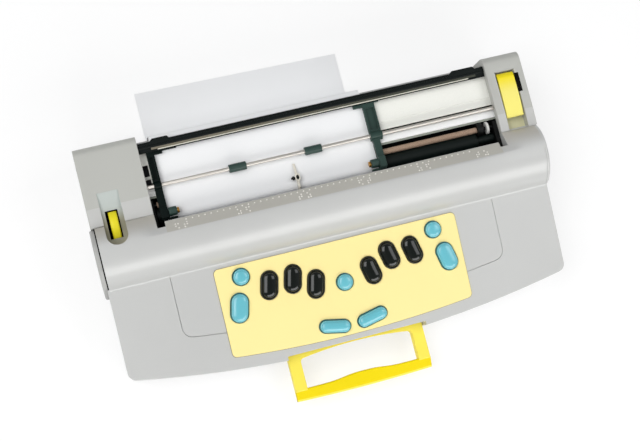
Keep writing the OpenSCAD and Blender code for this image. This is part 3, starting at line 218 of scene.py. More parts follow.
def material(name, color, rough=0.45, metallic=0.0, vary=0.03, grain=2600.0, bump=0.05,
             depth=0.00012, coat=0.0, spec=0.5, speck=None, rough_vary=0.05, sheen=0.0, fade=None):
    """Procedural surface: a slow drift and a fine grain in the colour, with the same grain
    in its roughness and bump. speck adds grains of a second colour, (colour, scale, share), and
    fade turns the colour into a second one along an axis, (axis, start, end, colour)."""
    mat = bpy.data.materials.new(name)
    mat.use_nodes = True
    nt = mat.node_tree
    b = nt.nodes["Principled BSDF"]
    b.inputs["Metallic"].default_value = metallic
    b.inputs["Specular IOR Level"].default_value = spec
    if coat:
        b.inputs["Coat Weight"].default_value = coat
        b.inputs["Coat Roughness"].default_value = 0.08
    if sheen:
        b.inputs["Sheen Weight"].default_value = sheen
    co = nt.nodes.new("ShaderNodeTexCoord").outputs["Object"]
    drift = noise(nt, co, DRIFT, 3.0)
    col = ramp(nt, drift, spread(color, vary))
    if fade:
        axis, start, end, second = fade
        split = nt.nodes.new("ShaderNodeSeparateXYZ")
        nt.links.new(co, split.inputs[0])
        part = nt.nodes.new("ShaderNodeMapRange")
        part.interpolation_type = "SMOOTHSTEP"
        part.inputs["From Min"].default_value = start
        part.inputs["From Max"].default_value = end
        nt.links.new(split.outputs[axis], part.inputs["Value"])
        col = mixed(nt, "MIX", part.outputs["Result"], col, ramp(nt, drift, spread(second, vary)))
    fine = noise(nt, co, grain, 2.0, 0.6)
    col = mixed(nt, "MULTIPLY", 1.0, col, ramp(nt, fine, [(0.3, (1 - vary,) * 3), (0.7, (1, 1, 1))]))
    if speck:
        second, scale, share = speck
        dots = ramp(nt, noise(nt, co, scale, 1.0), [(share, (0, 0, 0)), (share + 0.06, (1, 1, 1))])
        col = mixed(nt, "MIX", dots, col, (*lin(second), 1))
    nt.links.new(col, b.inputs["Base Color"])
    rr = nt.nodes.new("ShaderNodeMapRange")
    rr.inputs["To Min"].default_value = max(0.03, rough - rough_vary)
    rr.inputs["To Max"].default_value = min(1.0, rough + rough_vary)
    nt.links.new(fine, rr.inputs["Value"])
    nt.links.new(rr.outputs["Result"], b.inputs["Roughness"])
    bp = nt.nodes.new("ShaderNodeBump")
    bp.inputs["Strength"].default_value = bump
    bp.inputs["Distance"].default_value = depth
    nt.links.new(fine, bp.inputs["Height"])
    nt.links.new(bp.outputs["Normal"], b.inputs["Normal"])
    return mat


M = {
    "body": material("body_plastic", (0.775, 0.777, 0.77), 0.33, spec=1.0),
    # Ledge in a darker, warmer grey than the body: painted shade on the ledge that slopes away from the
    # light
    "ledge": material("ledge_painted_shade_plastic", (0.755, 0.745, 0.712), 0.4, spec=0.8),
    "cover": material("cover_plastic", (0.735, 0.737, 0.715), 0.5),
    # Fronts of the end covers before the crease, lighter than the covers: painted light on their slight
    # forward tilt
    "cover_front": material("cover_front_plastic", (0.775, 0.775, 0.765), 0.48),
    # Dots in near white, far lighter than the ledge: painted highlights on the raised dots
    "dots": material("dot_painted_highlight_plastic", (0.95, 0.94, 0.915), 0.4),
    "cheek": material("cheek_plastic", (0.72, 0.72, 0.71), 0.45),
    "panel": material("panel_sheet", (1.0, 0.925, 0.635), 0.5, vary=0.012, spec=0.3),
    "black_key": material("black_key_plastic", (0.0, 0.03, 0.01), 0.13, spec=0.5, bump=0.0, vary=0.08,
                          coat=0.25, rough_vary=0.02),
    "blue_key": material("blue_key_plastic", (0.415, 0.755, 0.81), 0.2, vary=0.02, bump=0.01, spec=0.8,
                         coat=0.5),
    "handle": material("handle_plastic", (1.0, 0.92, 0.35), 0.5, spec=0.3),
    "grip": material("grip_plastic", (0.93, 0.835, 0.0), 0.55, vary=0.02, spec=0.12),
    "wheel": material("wheel_plastic", (0.96, 0.90, 0.10), 0.45),
    "lever": material("lever_plastic", (1.0, 0.94, 0.49), 0.4, spec=0.4,
                      fade=along_y(94, 112, (1.0, 0.91, 0.10))),
    "rubber": material("roller_rubber", (0.17, 0.265, 0.24), 0.45, grain=3500, bump=0.15),
    "feed_rubber": material("feed_roller_rubber", (0.03, 0.075, 0.065), 0.5, grain=3500, bump=0.15,
                            spec=0.25),
    "brown": material("gritty_rubber", (0.73, 0.62, 0.53), 0.8, vary=0.1, grain=1700, bump=0.6,
                      depth=0.0003, speck=((0.44, 0.34, 0.28), 2300, 0.6)),
    "bar": material("bar_plastic", (0.03, 0.065, 0.06), 0.4, vary=0.06, spec=0.2),
    "felt": material("bar_felt", (0.50, 0.475, 0.41), 0.95, vary=0.12, grain=4200, bump=0.7, sheen=0.2,
                     fade=(0, -0.12, 0.1, (0.27, 0.28, 0.24))),
    "bar_edge": material("bar_edge_strip", (0.88, 0.87, 0.81), 0.6, grain=1500),
    "table": material("table_paint", (0.985, 0.985, 0.955), 0.4, grain=900, bump=0.04),
    "platen": material("platen_metal", (1.0, 1.0, 0.995), 0.35, grain=300, bump=0.0, vary=0.01),
    "platen_lip": material("platen_lip_metal", (0.60, 0.62, 0.58), 0.4, metallic=0.3, grain=300),
    "steel": material("bright_steel", (0.88, 0.86, 0.83), 0.42, metallic=1.0, grain=45, vary=0.015,
                      rough_vary=0.02, bump=0.0),
    "dull_steel": material("dull_steel", (0.22, 0.22, 0.21), 0.5, metallic=0.6, grain=45, bump=0.0),
    "guide_black": material("black_guide_plastic", (0.0, 0.055, 0.045), 0.4, spec=0.15),
    "guide_grey": material("grey_guide_plastic", (0.16, 0.25, 0.225), 0.42, spec=0.35),
    "dark": material("dark_plastic", (0.035, 0.045, 0.04), 0.5, spec=0.3),
    # Near black for the cheek's seam, and as painted shade in the wheel's slot and the lever's slot
    "seam_and_painted_shade": material("seam_and_painted_shade_plastic", (0.03, 0.03, 0.025), 0.8, spec=0.1),
    # Wheel recess: dark beige in front, fading to pale grey from y 58 to 76 towards the ramp behind:
    # painted shade in the recess
    "recess": material("recess_painted_shade_plastic", (0.60, 0.585, 0.50), 0.5,
                       fade=along_y(58, 76, (0.745, 0.772, 0.757))),
    # Floor of the lever's slot in beige, lighter than the cover: painted light against the shade in the
    # slot
    "slot_floor": material("slot_floor_plastic", (0.90, 0.89, 0.74), 0.5),
    # Shoulders: body colour in front, fading darker and warmer from y 37 to 56 towards the back: painted
    # shade on the slope facing away from the light
    "shoulder_painted_shade": material("shoulder_painted_shade_plastic", (0.775, 0.777, 0.77), 0.33, spec=1.0,
                         fade=along_y(37, 56, (0.735, 0.72, 0.685))),
    # Dark brownish grey for the line round the panel: painted shadow in the gap
    "panel_shadow_rim": material("panel_shadow_rim_plastic", (0.52, 0.49, 0.40), 0.6),
    "finger": material("finger_plastic", (0.89, 0.87, 0.82), 0.4),
    "brass": material("turned_brass", (0.8, 0.60, 0.32), 0.3, metallic=1.0, bump=0.0),
    "motor": material("motor_paint", (0.3, 0.3, 0.32), 0.45),
    "white_part": material("white_part_plastic", (0.88, 0.88, 0.86), 0.4),
    # Chassis sheet in near black
    "frame": material("near_black_sheet", (0.06, 0.065, 0.062), 0.6, metallic=0.2, spec=0.2),
    "board": material("board_laminate", (0.12, 0.38, 0.25), 0.45),
    "battery": material("battery_wrap", (0.2, 0.3, 0.5), 0.35),
    "foot": material("foot_rubber", (0.12, 0.12, 0.12), 0.8, bump=0.2),
    "paper": material("paper", (0.972, 0.974, 0.977), 0.85, vary=0.01, grain=1500, bump=0.1, spec=0.2),
}
# The CAD nodes that stay visible, in their materials
USE = {
    "rubber": ["feed_belt", "carriage_belt"],
    "dull_steel": ["feed_shaft"],
    "steel": ["carriage_rods", "casing_screws"],
    "dark": ["roller_bearings", "embossing_carriage", "key_switches", "speaker", "rear_sockets"],
    "brass": ["feed_motor_pulley", "drive_pulley"],
    "white_part": ["feed_pulley", "idler_pulley"],
    "motor": ["feed_motor", "carriage_motor"],
    "frame": ["chassis_frame"],
    "board": ["main_board", "keyboard_board"],
    "battery": ["battery_pack"],
    "foot": ["rubber_feet"],
    "paper": ["paper_sheet"],
}


def dress_nodes():
    for key, names in USE.items():
        for node in names:
            slots = NODES[node].data.materials
            slots.clear()
            slots.append(M[key])


def make_floor():
    """Pale floor that looks white but keeps a faint shadow of the object."""
    bpy.ops.mesh.primitive_plane_add(size=FLOOR, location=(0, 0, -0.0002))
    floor = bpy.context.active_object
    floor.name = "floor"
    mat = material("floor_paint", FLOOR_COLOR, 0.8, vary=0.004, bump=0.0, spec=0.0)
    nt = mat.node_tree
    lit = nt.nodes["Principled BSDF"]
    out = nt.nodes["Material Output"]
    rays = nt.nodes.new("ShaderNodeLightPath")
    seen = rays.outputs["Is Camera Ray"]
    for other in ("Is Glossy Ray", "Is Transmission Ray"):
        either = nt.nodes.new("ShaderNodeMath")
        either.operation = "MAXIMUM"
        nt.links.new(seen, either.inputs[0])
        nt.links.new(rays.outputs[other], either.inputs[1])
        seen = either.outputs[0]
    faint = nt.nodes.new("ShaderNodeBsdfDiffuse")
    faint.inputs["Color"].default_value = (FAINT, FAINT, FAINT, 1)
    glow = nt.nodes.new("ShaderNodeEmission")
    glow.inputs["Strength"].default_value = GLOW
    both = nt.nodes.new("ShaderNodeAddShader")
    nt.links.new(faint.outputs[0], both.inputs[0])
    nt.links.new(glow.outputs[0], both.inputs[1])
    pick = nt.nodes.new("ShaderNodeMixShader")
    nt.links.new(seen, pick.inputs["Fac"])
    nt.links.new(lit.outputs[0], pick.inputs[1])
    nt.links.new(both.outputs[0], pick.inputs[2])
    nt.links.new(pick.outputs[0], out.inputs["Surface"])
    floor.data.materials.append(mat)


# Mesh helpers

def add(name, bm, mat, like, stands_for=True, smooth=32, flat=True):
    """New piece from bm that rides as the CAD node like does, and replaces it if it stands for it.
    smooth is the angle under which its faces shade as one; flat keeps its large faces flat."""
    bmesh.ops.remove_doubles(bm, verts=bm.verts, dist=1e-6)
    bmesh.ops.recalc_face_normals(bm, faces=bm.faces)
    me = bpy.data.meshes.new(name)
    bm.to_mesh(me)
    bm.free()
    me.materials.append(M[mat])
    me.shade_smooth()
    me.set_sharp_from_angle(angle=math.radians(smooth))
    ob = bpy.data.objects.new(name, me)
    bpy.context.scene.collection.objects.link(ob)
    if flat:
        ob.modifiers.new("flat_faces", "WEIGHTED_NORMAL").keep_sharp = True
    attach(ob, body_of(NODES[like])[0])
    if stands_for:
        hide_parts(like)
    return ob


def join(*parts):
    """One bmesh from several."""
    bm = parts[0]
    for other in parts[1:]:
        me = bpy.data.meshes.new("part")
        other.to_mesh(me)
        other.free()
        bm.from_mesh(me)
        bpy.data.meshes.remove(me)
    return bm


def loft(rings, closed=False):
    """Skin over rings with as many points each; the ends are closed with a face each."""
    bm = bmesh.new()
    loops = [[bm.verts.new(p) for p in ring] for ring in rings]
    n = len(loops[0])
    pairs = list(zip(loops, loops[1:]))
    if closed:
        pairs.append((loops[-1], loops[0]))
    for a, b in pairs:
        for i in range(n):
            j = (i + 1) % n
            bm.faces.new((a[i], a[j], b[j], b[i]))
    if not closed:
        bm.faces.new(list(reversed(loops[0])))
        bm.faces.new(loops[-1])
    return bm


def inside(at, box):
    """True for a point whose x and y lie in the two ranges of box."""
    return all(a < v < b for v, (a, b) in zip((at.x, at.y), box))


def bevel(bm, width, segments=3, angle=30, clamp=True, skip=None):
    """Round the edges sharper than angle, apart from those whose middle lies in the box skip."""
    bmesh.ops.remove_doubles(bm, verts=bm.verts, dist=1e-6)
    bm.normal_update()
    limit = math.radians(angle)
    edges = [e for e in bm.edges if e.is_manifold and e.calc_face_angle(0) > limit]
    if skip:
        edges = [e for e in edges if not inside(from_hood((e.verts[0].co + e.verts[1].co) / 2), skip)]
    bmesh.ops.bevel(bm, geom=edges, offset=width * MM, segments=segments, profile=0.5,
                    affect="EDGES", clamp_overlap=clamp)
    return bm


def lathe(profile, at, n=64):
    """Closed profile of (distance along X, radius) turned about the line along X through at."""
    rings = []
    for k in range(n):
        a = 2 * math.pi * k / n
        c, s = math.cos(a), math.sin(a)
        rings.append([P(at[0] + d, at[1] + r * c, at[2] + r * s) for d, r in profile])
    return loft(rings, closed=True)


def roller(x0, x1, r, bore, edge, at):
    """Profile-turned roller with rounded rims, from x0 to x1 about the line through (y, z)."""
    turn = [(math.sin(math.radians(a)), math.cos(math.radians(a))) for a in (90, 60, 30, 0)]
    left = [(x0 + edge * (1 - s), r - edge * (1 - c)) for s, c in turn]
    right = [(x1 - edge * (1 - s), r - edge * (1 - c)) for s, c in reversed(turn)]
    return lathe([(x0, bore)] + left + right + [(x1, bore)], (0, *at))


def prism(outline, x0, x1):
    """Outline of (y, z) points drawn out along X."""
    return loft([[P(x, y, z) for y, z in outline] for x in (x0, x1)])


def slab(outline, z0, z1):
    """Outline of (x, y) points drawn out along Z."""
    return loft([[P(x, y, z) for x, y in outline] for z in (z0, z1)])


def rect(x0, x1, y0, y1):
    """Outline of a rectangle."""
    return [(x0, y0), (x1, y0), (x1, y1), (x0, y1)]


def brick(x, y, z):
    """Block with the ranges x, y and z."""
    return slab(rect(*x, *y), *z)


def arc(c, r, a0, a1, n=8):
    """Points on a circle about c, from a0 to a1 degrees."""
    return [(c[0] + r * math.cos(math.radians(a0 + (a1 - a0) * i / n)),
             c[1] + r * math.sin(math.radians(a0 + (a1 - a0) * i / n))) for i in range(n + 1)]


def fillet(pts, radii, n=6):
    """Outline with each corner i rounded by radii[i]."""
    out = []
    for i, p in enumerate(pts):
        r = radii[i]
        if r <= 0:
            out.append(p)
            continue
        p = Vector(p)
        u = (Vector(pts[i - 1]) - p).normalized()
        v = (Vector(pts[(i + 1) % len(pts)]) - p).normalized()
        half = u.angle(v) / 2
        c = p + (u + v).normalized() * r / math.sin(half)
        s = p + u * r / math.tan(half) - c
        e = p + v * r / math.tan(half) - c
        a0 = math.atan2(s.y, s.x)
        sweep = (math.atan2(e.y, e.x) - a0 + math.pi) % (2 * math.pi) - math.pi
        out += [tuple(c + r * Vector((math.cos(a0 + sweep * k / n), math.sin(a0 + sweep * k / n))))
                for k in range(n + 1)]
    return out


def soften(node, width, mat, rules=(), skip=None):
    """Copy of a CAD node with its sharp edges rounded. Each rule gives the faces for which it is true
    a material of their own."""
    bm = bmesh.new()
    bm.from_mesh(NODES[node].data)
    bmesh.ops.remove_doubles(bm, verts=bm.verts, dist=3e-6)
    bmesh.ops.dissolve_limit(bm, angle_limit=math.radians(0.4), verts=bm.verts, edges=bm.edges)
    bevel(bm, width, 2, 28, False, skip)
    piece = add(node + "_shell", bm, mat, node, smooth=40)
    for k, (second, where) in enumerate(rules):
        piece.data.materials.append(M[second])
        for f in piece.data.polygons:
            if where(from_hood(f.center), f.normal):
                f.material_index = k + 1


# Housing

# The ledge: where it starts behind the hood line, its height there, and its slope in degrees
LEDGE_Y = 37
LEDGE_TOP = 84.37
LEDGE_SLOPE = 30.2
# The crease across both end covers, where their tops turn
CREASE = 75.6
# The deck under the keys: its height at the hood line and its slope in degrees
DECK_Z = 58.5
DECK_SLOPE = 9.5
# Ranges of x and y round the hand wheel's recess, the lever's slot and the handle's slot
RECESS = ((-214, -187), (36, 95))
LEVER_SLOT = ((190, 219), (50, 120))
HANDLE_SLOT = ((-75, 75), (-104, -96))


# Rules for soften: faces of the ledge (painted shade), of the end covers before the crease (painted
# light), of the recess (painted shade) and of the slot's floor (painted light)

def on_ledge(at, normal):
    return LEDGE_Y + 0.2 < at.y < 58 and 0.3 < normal.y < 0.7 and normal.z > 0.7


# Faces that take the lighter cover colour, which is painted light
def before_crease(at, normal):
    return at.y < CREASE and at.z > 71 and normal.z > 0.98 and normal.y < -0.02


def in_recess(at, normal):
    return inside(at, RECESS) and 55 < at.z < 73 and normal.z > -0.1


def in_slot(at, normal):
    return inside(at, LEVER_SLOT) and 59.8 < at.y < 90 and at.z < 71.9 and normal.z > 0.2


def make_housing():
    floor = ("slot_floor", in_slot)
    recess = ("recess", in_recess)
    front = ("cover_front", before_crease)
    soften("top_casing", 0.5, "body", [("ledge", on_ledge), recess, floor], RECESS)
    soften("base_tray", 0.8, "body", skip=HANDLE_SLOT)
    soften("left_end_cover", 0.6, "cover", [front, recess], RECESS)
    soften("right_end_cover", 0.6, "cover", [front, floor], LEVER_SLOT)
    soften("keyboard_insert", 0.35, "body")
    soften("key_panel", 0.3, "panel")


def make_panel_shadow_rim():
    """Painted shadow line round the panel: a dark copy of it, its outline a little larger and lower."""
    grow = 0.7
    drop = 0.9
    low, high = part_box("key_panel")
    mid = (low + high) / 2
    bm = bmesh.new()
    bm.from_mesh(NODES["key_panel"].data)
    for v in bm.verts:
        for axis in (0, 1):
            wider = 1 + grow * MM / (high[axis] - low[axis])
            v.co[axis] = mid[axis] + (v.co[axis] - mid[axis]) * wider
        v.co.z -= drop * MM
    add("panel_shadow_rim", bm, "panel_shadow_rim", "key_panel", stands_for=False)


# Hood: its circle, the end of its straight run, and the fall of its shoulders to the end covers

HOOD = (34, 48.66)
HOOD_R = 35.84
HOOD_END = 219.8
FALL = ((40, 83.99), (50, 82.3), (57.6, 72.45))
# Left and right ends of the paper window and of the ledge, and where the ledge's ends step in
WINDOW = (-163.5, 185.6)
LEDGE_ENDS = (-155.6, 178.4)
LEDGE_STEP = 43.2


def hood_z(y):
    """Height of the hood's round top y behind the hood line."""
    if y < FALL[0][0]:
        return HOOD[1] + math.sqrt(HOOD_R ** 2 - (y - HOOD[0]) ** 2)
    low, high = 0.0, 1.0
    for _ in range(30):
        t = (low + high) / 2
        at = [a * (1 - t) ** 2 + 2 * b * t * (1 - t) + c * t * t for a, b, c in zip(*FALL)]
        if at[0] < y:
            low = t
        else:
            high = t
    return at[1]


def ledge_z(y):
    return LEDGE_TOP - (y - LEDGE_Y) * math.tan(math.radians(LEDGE_SLOPE))


def make_shoulders():
    """Round shoulders over the slope at both ends, flat beside the window; the left one leaves the
    wheel's recess open, which is round in front. Each is cut into rows and columns and then raised."""
    # Front and back, the round front of the recess, and the grid
    first = 33
    back = FALL[2][0]
    recess = (-200.5, 46.5)
    half = 10.3
    rows = 24
    column = 2.5
    columns = 7
    near, far = recess[0] + half, recess[0] - half
    front = list(reversed(arc(recess, half, 180, 360, 24)))
    left = [rect(-HOOD_END, far, first, back),
            [(far, first), (near, first), *front],
            rect(near, WINDOW[0], first, back),
            rect(WINDOW[0], LEDGE_ENDS[0], first, LEDGE_STEP)]
    right = [rect(LEDGE_ENDS[1], WINDOW[1], first, LEDGE_STEP),
             rect(WINDOW[1], HOOD_END, first, back)]
    for name, plans, edge in (("left", left, WINDOW[0]), ("right", right, WINDOW[1])):
        bm = join(*[slab(plan, 0, 1) for plan in plans])
        bmesh.ops.triangulate(bm, faces=bm.faces)
        cuts = [(P(0, first + (back - first) * i / rows, 0), (0, 1, 0)) for i in range(1, rows)]
        side = math.copysign(1, edge)
        cuts += [(P(side * (abs(edge) + column * i), 0, 0), (1, 0, 0)) for i in range(columns + 1)]
        for at, across in cuts:
            bmesh.ops.bisect_plane(bm, geom=bm.verts[:] + bm.edges[:] + bm.faces[:], dist=1e-7,
                                   plane_co=at, plane_no=across)
        for v in bm.verts:
            y = v.co.y / MM - OFF
            t = min(1.0, max(0.0, (abs(v.co.x) / MM - abs(edge)) / (column * columns)))
            flat = min(hood_z(y), ledge_z(y))
            top = flat + (hood_z(y) - flat) * t * t * (3 - 2 * t)
            v.co.z = (top + 0.03 if v.co.z > 0.5 * MM else flat - 0.5) * MM
        # Its material darkens towards the back as painted shade
        add(name + "_shoulder", bm, "shoulder_painted_shade", "top_casing", stands_for=False, smooth=50, flat=False)


def make_toe():
    """Small cove where the hood meets the deck, over the insert's back seam."""
    end = HOOD_END - 0.2
    deck = math.tan(math.radians(DECK_SLOPE))
    cove = [(0.35, 58), (0.35, 60.9), (0.02, 60.2), (-0.25, 59.55), (-0.7, 58.95), (-1.3, 58.55),
            (-2.1, DECK_Z - 2.1 * deck + 0.03), (-2.1, 58)]
    add("hood_cove", prism(cove, -end, end), "body", "top_casing", stands_for=False, smooth=60, flat=False)


# Front, foot and back of both cheeks, and the height where the front turns into the curve
CHEEK_FRONT = -6
CHEEK_FOOT = 18
CHEEK_BACK = 57.5
CHEEK_TURN = 34


def cheek_outline(inset):
    """Outline of the left side plate, drawn in square to it."""
    front = CHEEK_FRONT + inset
    back = CHEEK_BACK - inset / 2
    foot = CHEEK_FOOT + inset
    centre = (31, 46)
    r = 32.4 - inset
    a0 = math.degrees(math.acos((back - centre[0]) / r))
    pts = [(front, foot), (back, foot)] + arc(centre, r, a0, 175, 40) + [(front, CHEEK_TURN)]
    return fillet(pts, [4, 4] + [0] * 41 + [0])


def end_outline(inset):
    """Outline of the right end: the hood's own line, drawn in square to it."""
    line = [(y, hood_z(y)) for y in [57.4 - 20.4 * i / 24 for i in range(24)]]
    line += arc(HOOD, HOOD_R, 85, 176, 40)
    drawn = []
    for i, (y, z) in enumerate(line):
        a, b = line[max(i - 1, 0)], line[min(i + 1, len(line) - 1)]
        along = Vector((b[0] - a[0], b[1] - a[1])).normalized()
        drawn.append((y - along.y * inset, z + along.x * inset))
    front = CHEEK_FRONT + inset
    foot = CHEEK_FOOT + inset
    pts = [(front, foot), (CHEEK_BACK - inset, foot)] + drawn + [(front, CHEEK_TURN)]
    return fillet(pts, [4, 4] + [0] * (len(drawn) + 1))


def rolled(outline, x0, x1, edge, steps=8):
    """Plate from x0 to x1 whose outer edge is rounded; the sign of x1 - x0 gives its side."""
    way = 1 if x1 > x0 else -1
    rings = [[P(x0, y, z) for y, z in outline(0)]]
    for i in range(steps + 1):
        a = math.pi / 2 * i / steps
        x = x1 - way * edge * (1 - math.sin(a))
        rings.append([P(x, y, z) for y, z in outline(edge * (1 - math.cos(a)))])
    return loft(rings)


def make_cheeks():
    """Left: a side plate with a rolled edge and a dark seam. Right: the hood's line runs on to a
    rolled end."""
    plate = rolled(cheek_outline, -221.0, -225.3, 2.2)
    add("left_side_cheek_plate", plate, "cheek", "left_side_cheek")
    seam = [[P(x, max(y, 0.3), max(z, 33)) for y, z in cheek_outline(0.15)] for x in (-221.1, -219.8)]
    add("left_side_cheek_seam", loft(seam), "seam_and_painted_shade", "left_side_cheek", stands_for=False)
    end = rolled(end_outline, HOOD_END, 223.3, 2.6)
    add("right_side_cheek_end", end, "body", "right_side_cheek", flat=False)


# Keys

# Turn of the dot and side keys in degrees; how far each dot key is from the middle and in front of
# the hood line, outermost first; and their length and width
SPLAY = 13.5
DOTS = ((72.2, 31.5), (48.7, 31.1), (27.9, 41.1))
DOT_SIZE = (27.8, 16.6)
# Place of each blue key, its length and width, and its turn
BLUE_KEYS = {
    "left_round_key": (-96.8, -17.4, 16.6, 16.6, 0),
    "right_round_key": (96.8, -17.4, 16.6, 16.6, 0),
    "middle_round_key": (0, -45.9, 16.6, 16.6, 0),
    "left_side_key": (-104.8, -45.7, 28.6, 17.4, -SPLAY),
    "right_side_key": (104.8, -45.7, 28.6, 17.4, SPLAY),
    "left_space_key": (-18.9, -84.9, 31, 13, 78),
    "right_space_key": (18.9, -84.9, 31, 13, 102),
}
# Sections of the caps: how far inside the outline, and the height over the deck
FOOT = [(-1.4, -4.4), (-1.4, -2.9)]


def crown(inset, low, reach, rise, n=14):
    """Quarter of an ellipse from the rim up to nearly the top."""
    return [(inset + reach * (1 - math.cos(a)), low + rise * math.sin(a))
            for a in [math.radians(85) * i / n for i in range(n + 1)]]


BLACK_SECTION = [(0, -2.9), (0, 2.4), (0.1, 2.75), (0.35, 2.98), (0.7, 3.0), (0.95, 2.9), (1.15, 2.7),
                 (1.35, 2.62)] + crown(1.5, 2.75, 6.8, 3.43)
BLUE_SECTION = [(0.75, -2.9), (0.75, 3.5), (0.85, 4.0), (1.1, 4.35), (1.5, 4.5), (1.9, 4.45)] \
    + crown(2.05, 4.5, 6.2, 1.65)


def cap_ring(length, width, inset, height, n=20):
    """Round-ended outline of a cap, drawn in by inset."""
    r = width / 2 - inset
    half = (length - width) / 2
    ring = []
    for end in (1, -1):
        for i in range(n + 1):
            a = math.pi * i / n + (0 if end > 0 else math.pi)
            ring.append(Vector((r * math.cos(a), r * math.sin(a) + end * half, height)) * MM)
    return ring


def cap(node, mat, key, section):
    """Key cap at its place on the deck."""
    x, y, length, width, turn = key
    slope = math.radians(DECK_SLOPE)
    place = (Matrix.Translation(P(0, 0, DECK_Z)) @ Matrix.Rotation(slope, 4, "X")
             @ Matrix.Translation(Vector((x, y / math.cos(slope), 0)) * MM)
             @ Matrix.Rotation(math.radians(turn), 4, "Z"))
    rings = [cap_ring(length, width, i, h) for i, h in FOOT + section if i < width / 2 - 0.3]
    bm = loft([[place @ p for p in ring] for ring in rings])
    add(node + "_cap", bm, mat, node, smooth=50, flat=False)


def make_keys():
    for i in range(6):
        side, j = ((-1, 2 - i) if i < 3 else (1, 5 - i))
        x, y = DOTS[j]
        cap(f"dot_{i + 1}_key", "black_key", (side * x, -y, *DOT_SIZE, side * SPLAY), BLACK_SECTION)
    for node, key in BLUE_KEYS.items():
        cap(node, "blue_key", key, BLUE_SECTION)


# Handle

# The handle's heights, half its width outside and between its arms, its front, the line where the
# grip meets the arms, and the ends of the grip
HANDLE_Z = (14.5, 26)
HANDLE_HALF = 69.2
ARM_IN = 57.2
HANDLE_FRONT = -146.5
GRIP_LINE = -135.6
GRIP_X = (-69.1, 69.3)


def grip_edge(x):
    """Inner edge of the grip, with a broad swelling in its middle."""
    return GRIP_LINE - 0.7 + 2.8 * math.exp(-(abs(x - 2) / 24) ** 3)


def grip_front(x):
    """Front edge of the grip, bowed a little outwards."""
    return HANDLE_FRONT - 2.2 + 1.4 * ((x - 0.4) / 69.4) ** 2


def make_grip():
    """Thick grip with a pale rail along its front edge."""
    low, top = HANDLE_Z
    stations = 40
    rings = []
    edge = []
    for k in range(stations + 1):
        x = GRIP_X[0] + (GRIP_X[1] - GRIP_X[0]) * k / stations
        inner = grip_edge(x)
        front = grip_front(x)
        section = fillet([(front, low), (inner, low), (inner, top), (front + 1.8, low + 6.6),
                          (front, low + 5.0)], [1.5, 0.8, 1.0, 1.0, 0.6], 4)
        rings.append([P(x, y, z) for y, z in section])
        rail = fillet([(front - 0.08, low + 3.5), (front + 1, low + 3.5), (front + 2.2, low + 6.3),
                       (front + 1.6, low + 6.62), (front - 0.08, low + 5.1)], [0.3, 0.1, 0.1, 0.2, 0.5], 3)
        edge.append([P(x, y, z) for y, z in rail])
    add("handle_grip", loft(rings), "grip", "carry_handle", stands_for=False, smooth=40)
    add("handle_grip_edge", loft(edge), "handle", "carry_handle", stands_for=False, smooth=40)


def make_arms():
    """Two arms and the bowed rear bar, one U-shaped plate."""
    bow_h = 4.1
    bar_in = -107.6
    corner = 3.4
    bow_r = (ARM_IN ** 2 + bow_h ** 2) / (2 * bow_h)
    half = math.degrees(math.asin(ARM_IN / bow_r))
    line = GRIP_LINE - 2.5
    bow = arc((0, bar_in + bow_h - bow_r), bow_r, 90 + half, 90 - half, 20)
    outline = [(-HANDLE_HALF, line), (-ARM_IN, line), *bow, (ARM_IN, line), (HANDLE_HALF, line),
               (HANDLE_HALF, -84), (-HANDLE_HALF, -84)]
    outline = fillet(outline, [0, 0, corner] + [0] * 19 + [corner] + [0] * 4)
    add("handle_frame", bevel(slab(outline, *HANDLE_Z), 0.9, 3, 25), "handle", "carry_handle")


# Hand wheel, and a near-black shell round it as painted shade in its slot

WHEEL_X = 200.5
WHEEL_SLOT = (195.1, 207.1)


def make_wheel():
    """Wheel with a crowned tread, and a near-black shell round its lower part as painted shade in the
    slot.
    """
    tread = [(-4, 16), (-4, 17.2), (-3.75, 18.1), (-3.1, 18.7), (-2.0, 18.97), (0, 19.0),
             (2.0, 18.97), (3.1, 18.7), (3.75, 18.1), (4, 17.2), (4, 16)]
    face = [(2.6, 15.6), (2.6, 6.4), (4, 6), (4, 3.02), (-4, 3.02), (-4, 6), (-2.6, 6.4),
            (-2.6, 15.6)]
    add("wheel_tread", lathe(tread + face, (-WHEEL_X, *FEED), 96), "wheel", "hand_wheel")
    x0 = -WHEEL_SLOT[1] - 1
    x1 = -WHEEL_SLOT[0] + 1
    r = 20.6
    shell = [(x0, 5), (x0 - 0.8, 5), (x0 - 0.8, r + 0.8), (x1 + 0.8, r + 0.8), (x1 + 0.8, 5), (x1, 5),
             (x1, r), (x0, r)]
    rings = []
    for a in [math.radians(152 + 236 * k / 32) for k in range(33)]:
        c, s = math.cos(a), math.sin(a)
        rings.append([P(d, FEED[0] + q * c, FEED[1] + q * s) for d, q in shell])
    # Painted shadow: a dark line along the back edge of the slot
    line = brick((-207.0, -195.2), (69.9, 71.2), (69.9, 70.06))
    add("wheel_painted_shade_shell", join(loft(rings), line), "seam_and_painted_shade", "left_end_cover", stands_for=False)


# Release lever

LEVER_X = (195.6, 213.0)


def make_lever():
    """Curved plate on a pair of pins."""
    x0, x1 = LEVER_X
    pivot = (111.8, 67.4)
    reach = 3.4
    plate = [(70.6, 67.9), (71.2, 67.4), (96, 69.4), (106, 68.6), (108.4, 65.4)]
    back = arc(pivot, 4.2, 215, 380, 10) + [(115.6, 70.4)] + arc((109.8, 67.6), 6.4, 40, 95, 8)
    top = [(100, 74.1), (88, 74.0), (75.4, 72.2), (74.6, 71.7), (71.0, 71.45), (70.6, 71.1)]
    body = bevel(prism(plate + back + top, x0, x1), 0.5, 2, 35)
    pins = lathe([(x0 - reach, 0.01), (x0 - reach, 2), (x1 + reach, 2), (x1 + reach, 0.01)],
                 (0, *pivot), 32)
    add("lever_plate", join(body, pins), "lever", "release_lever")


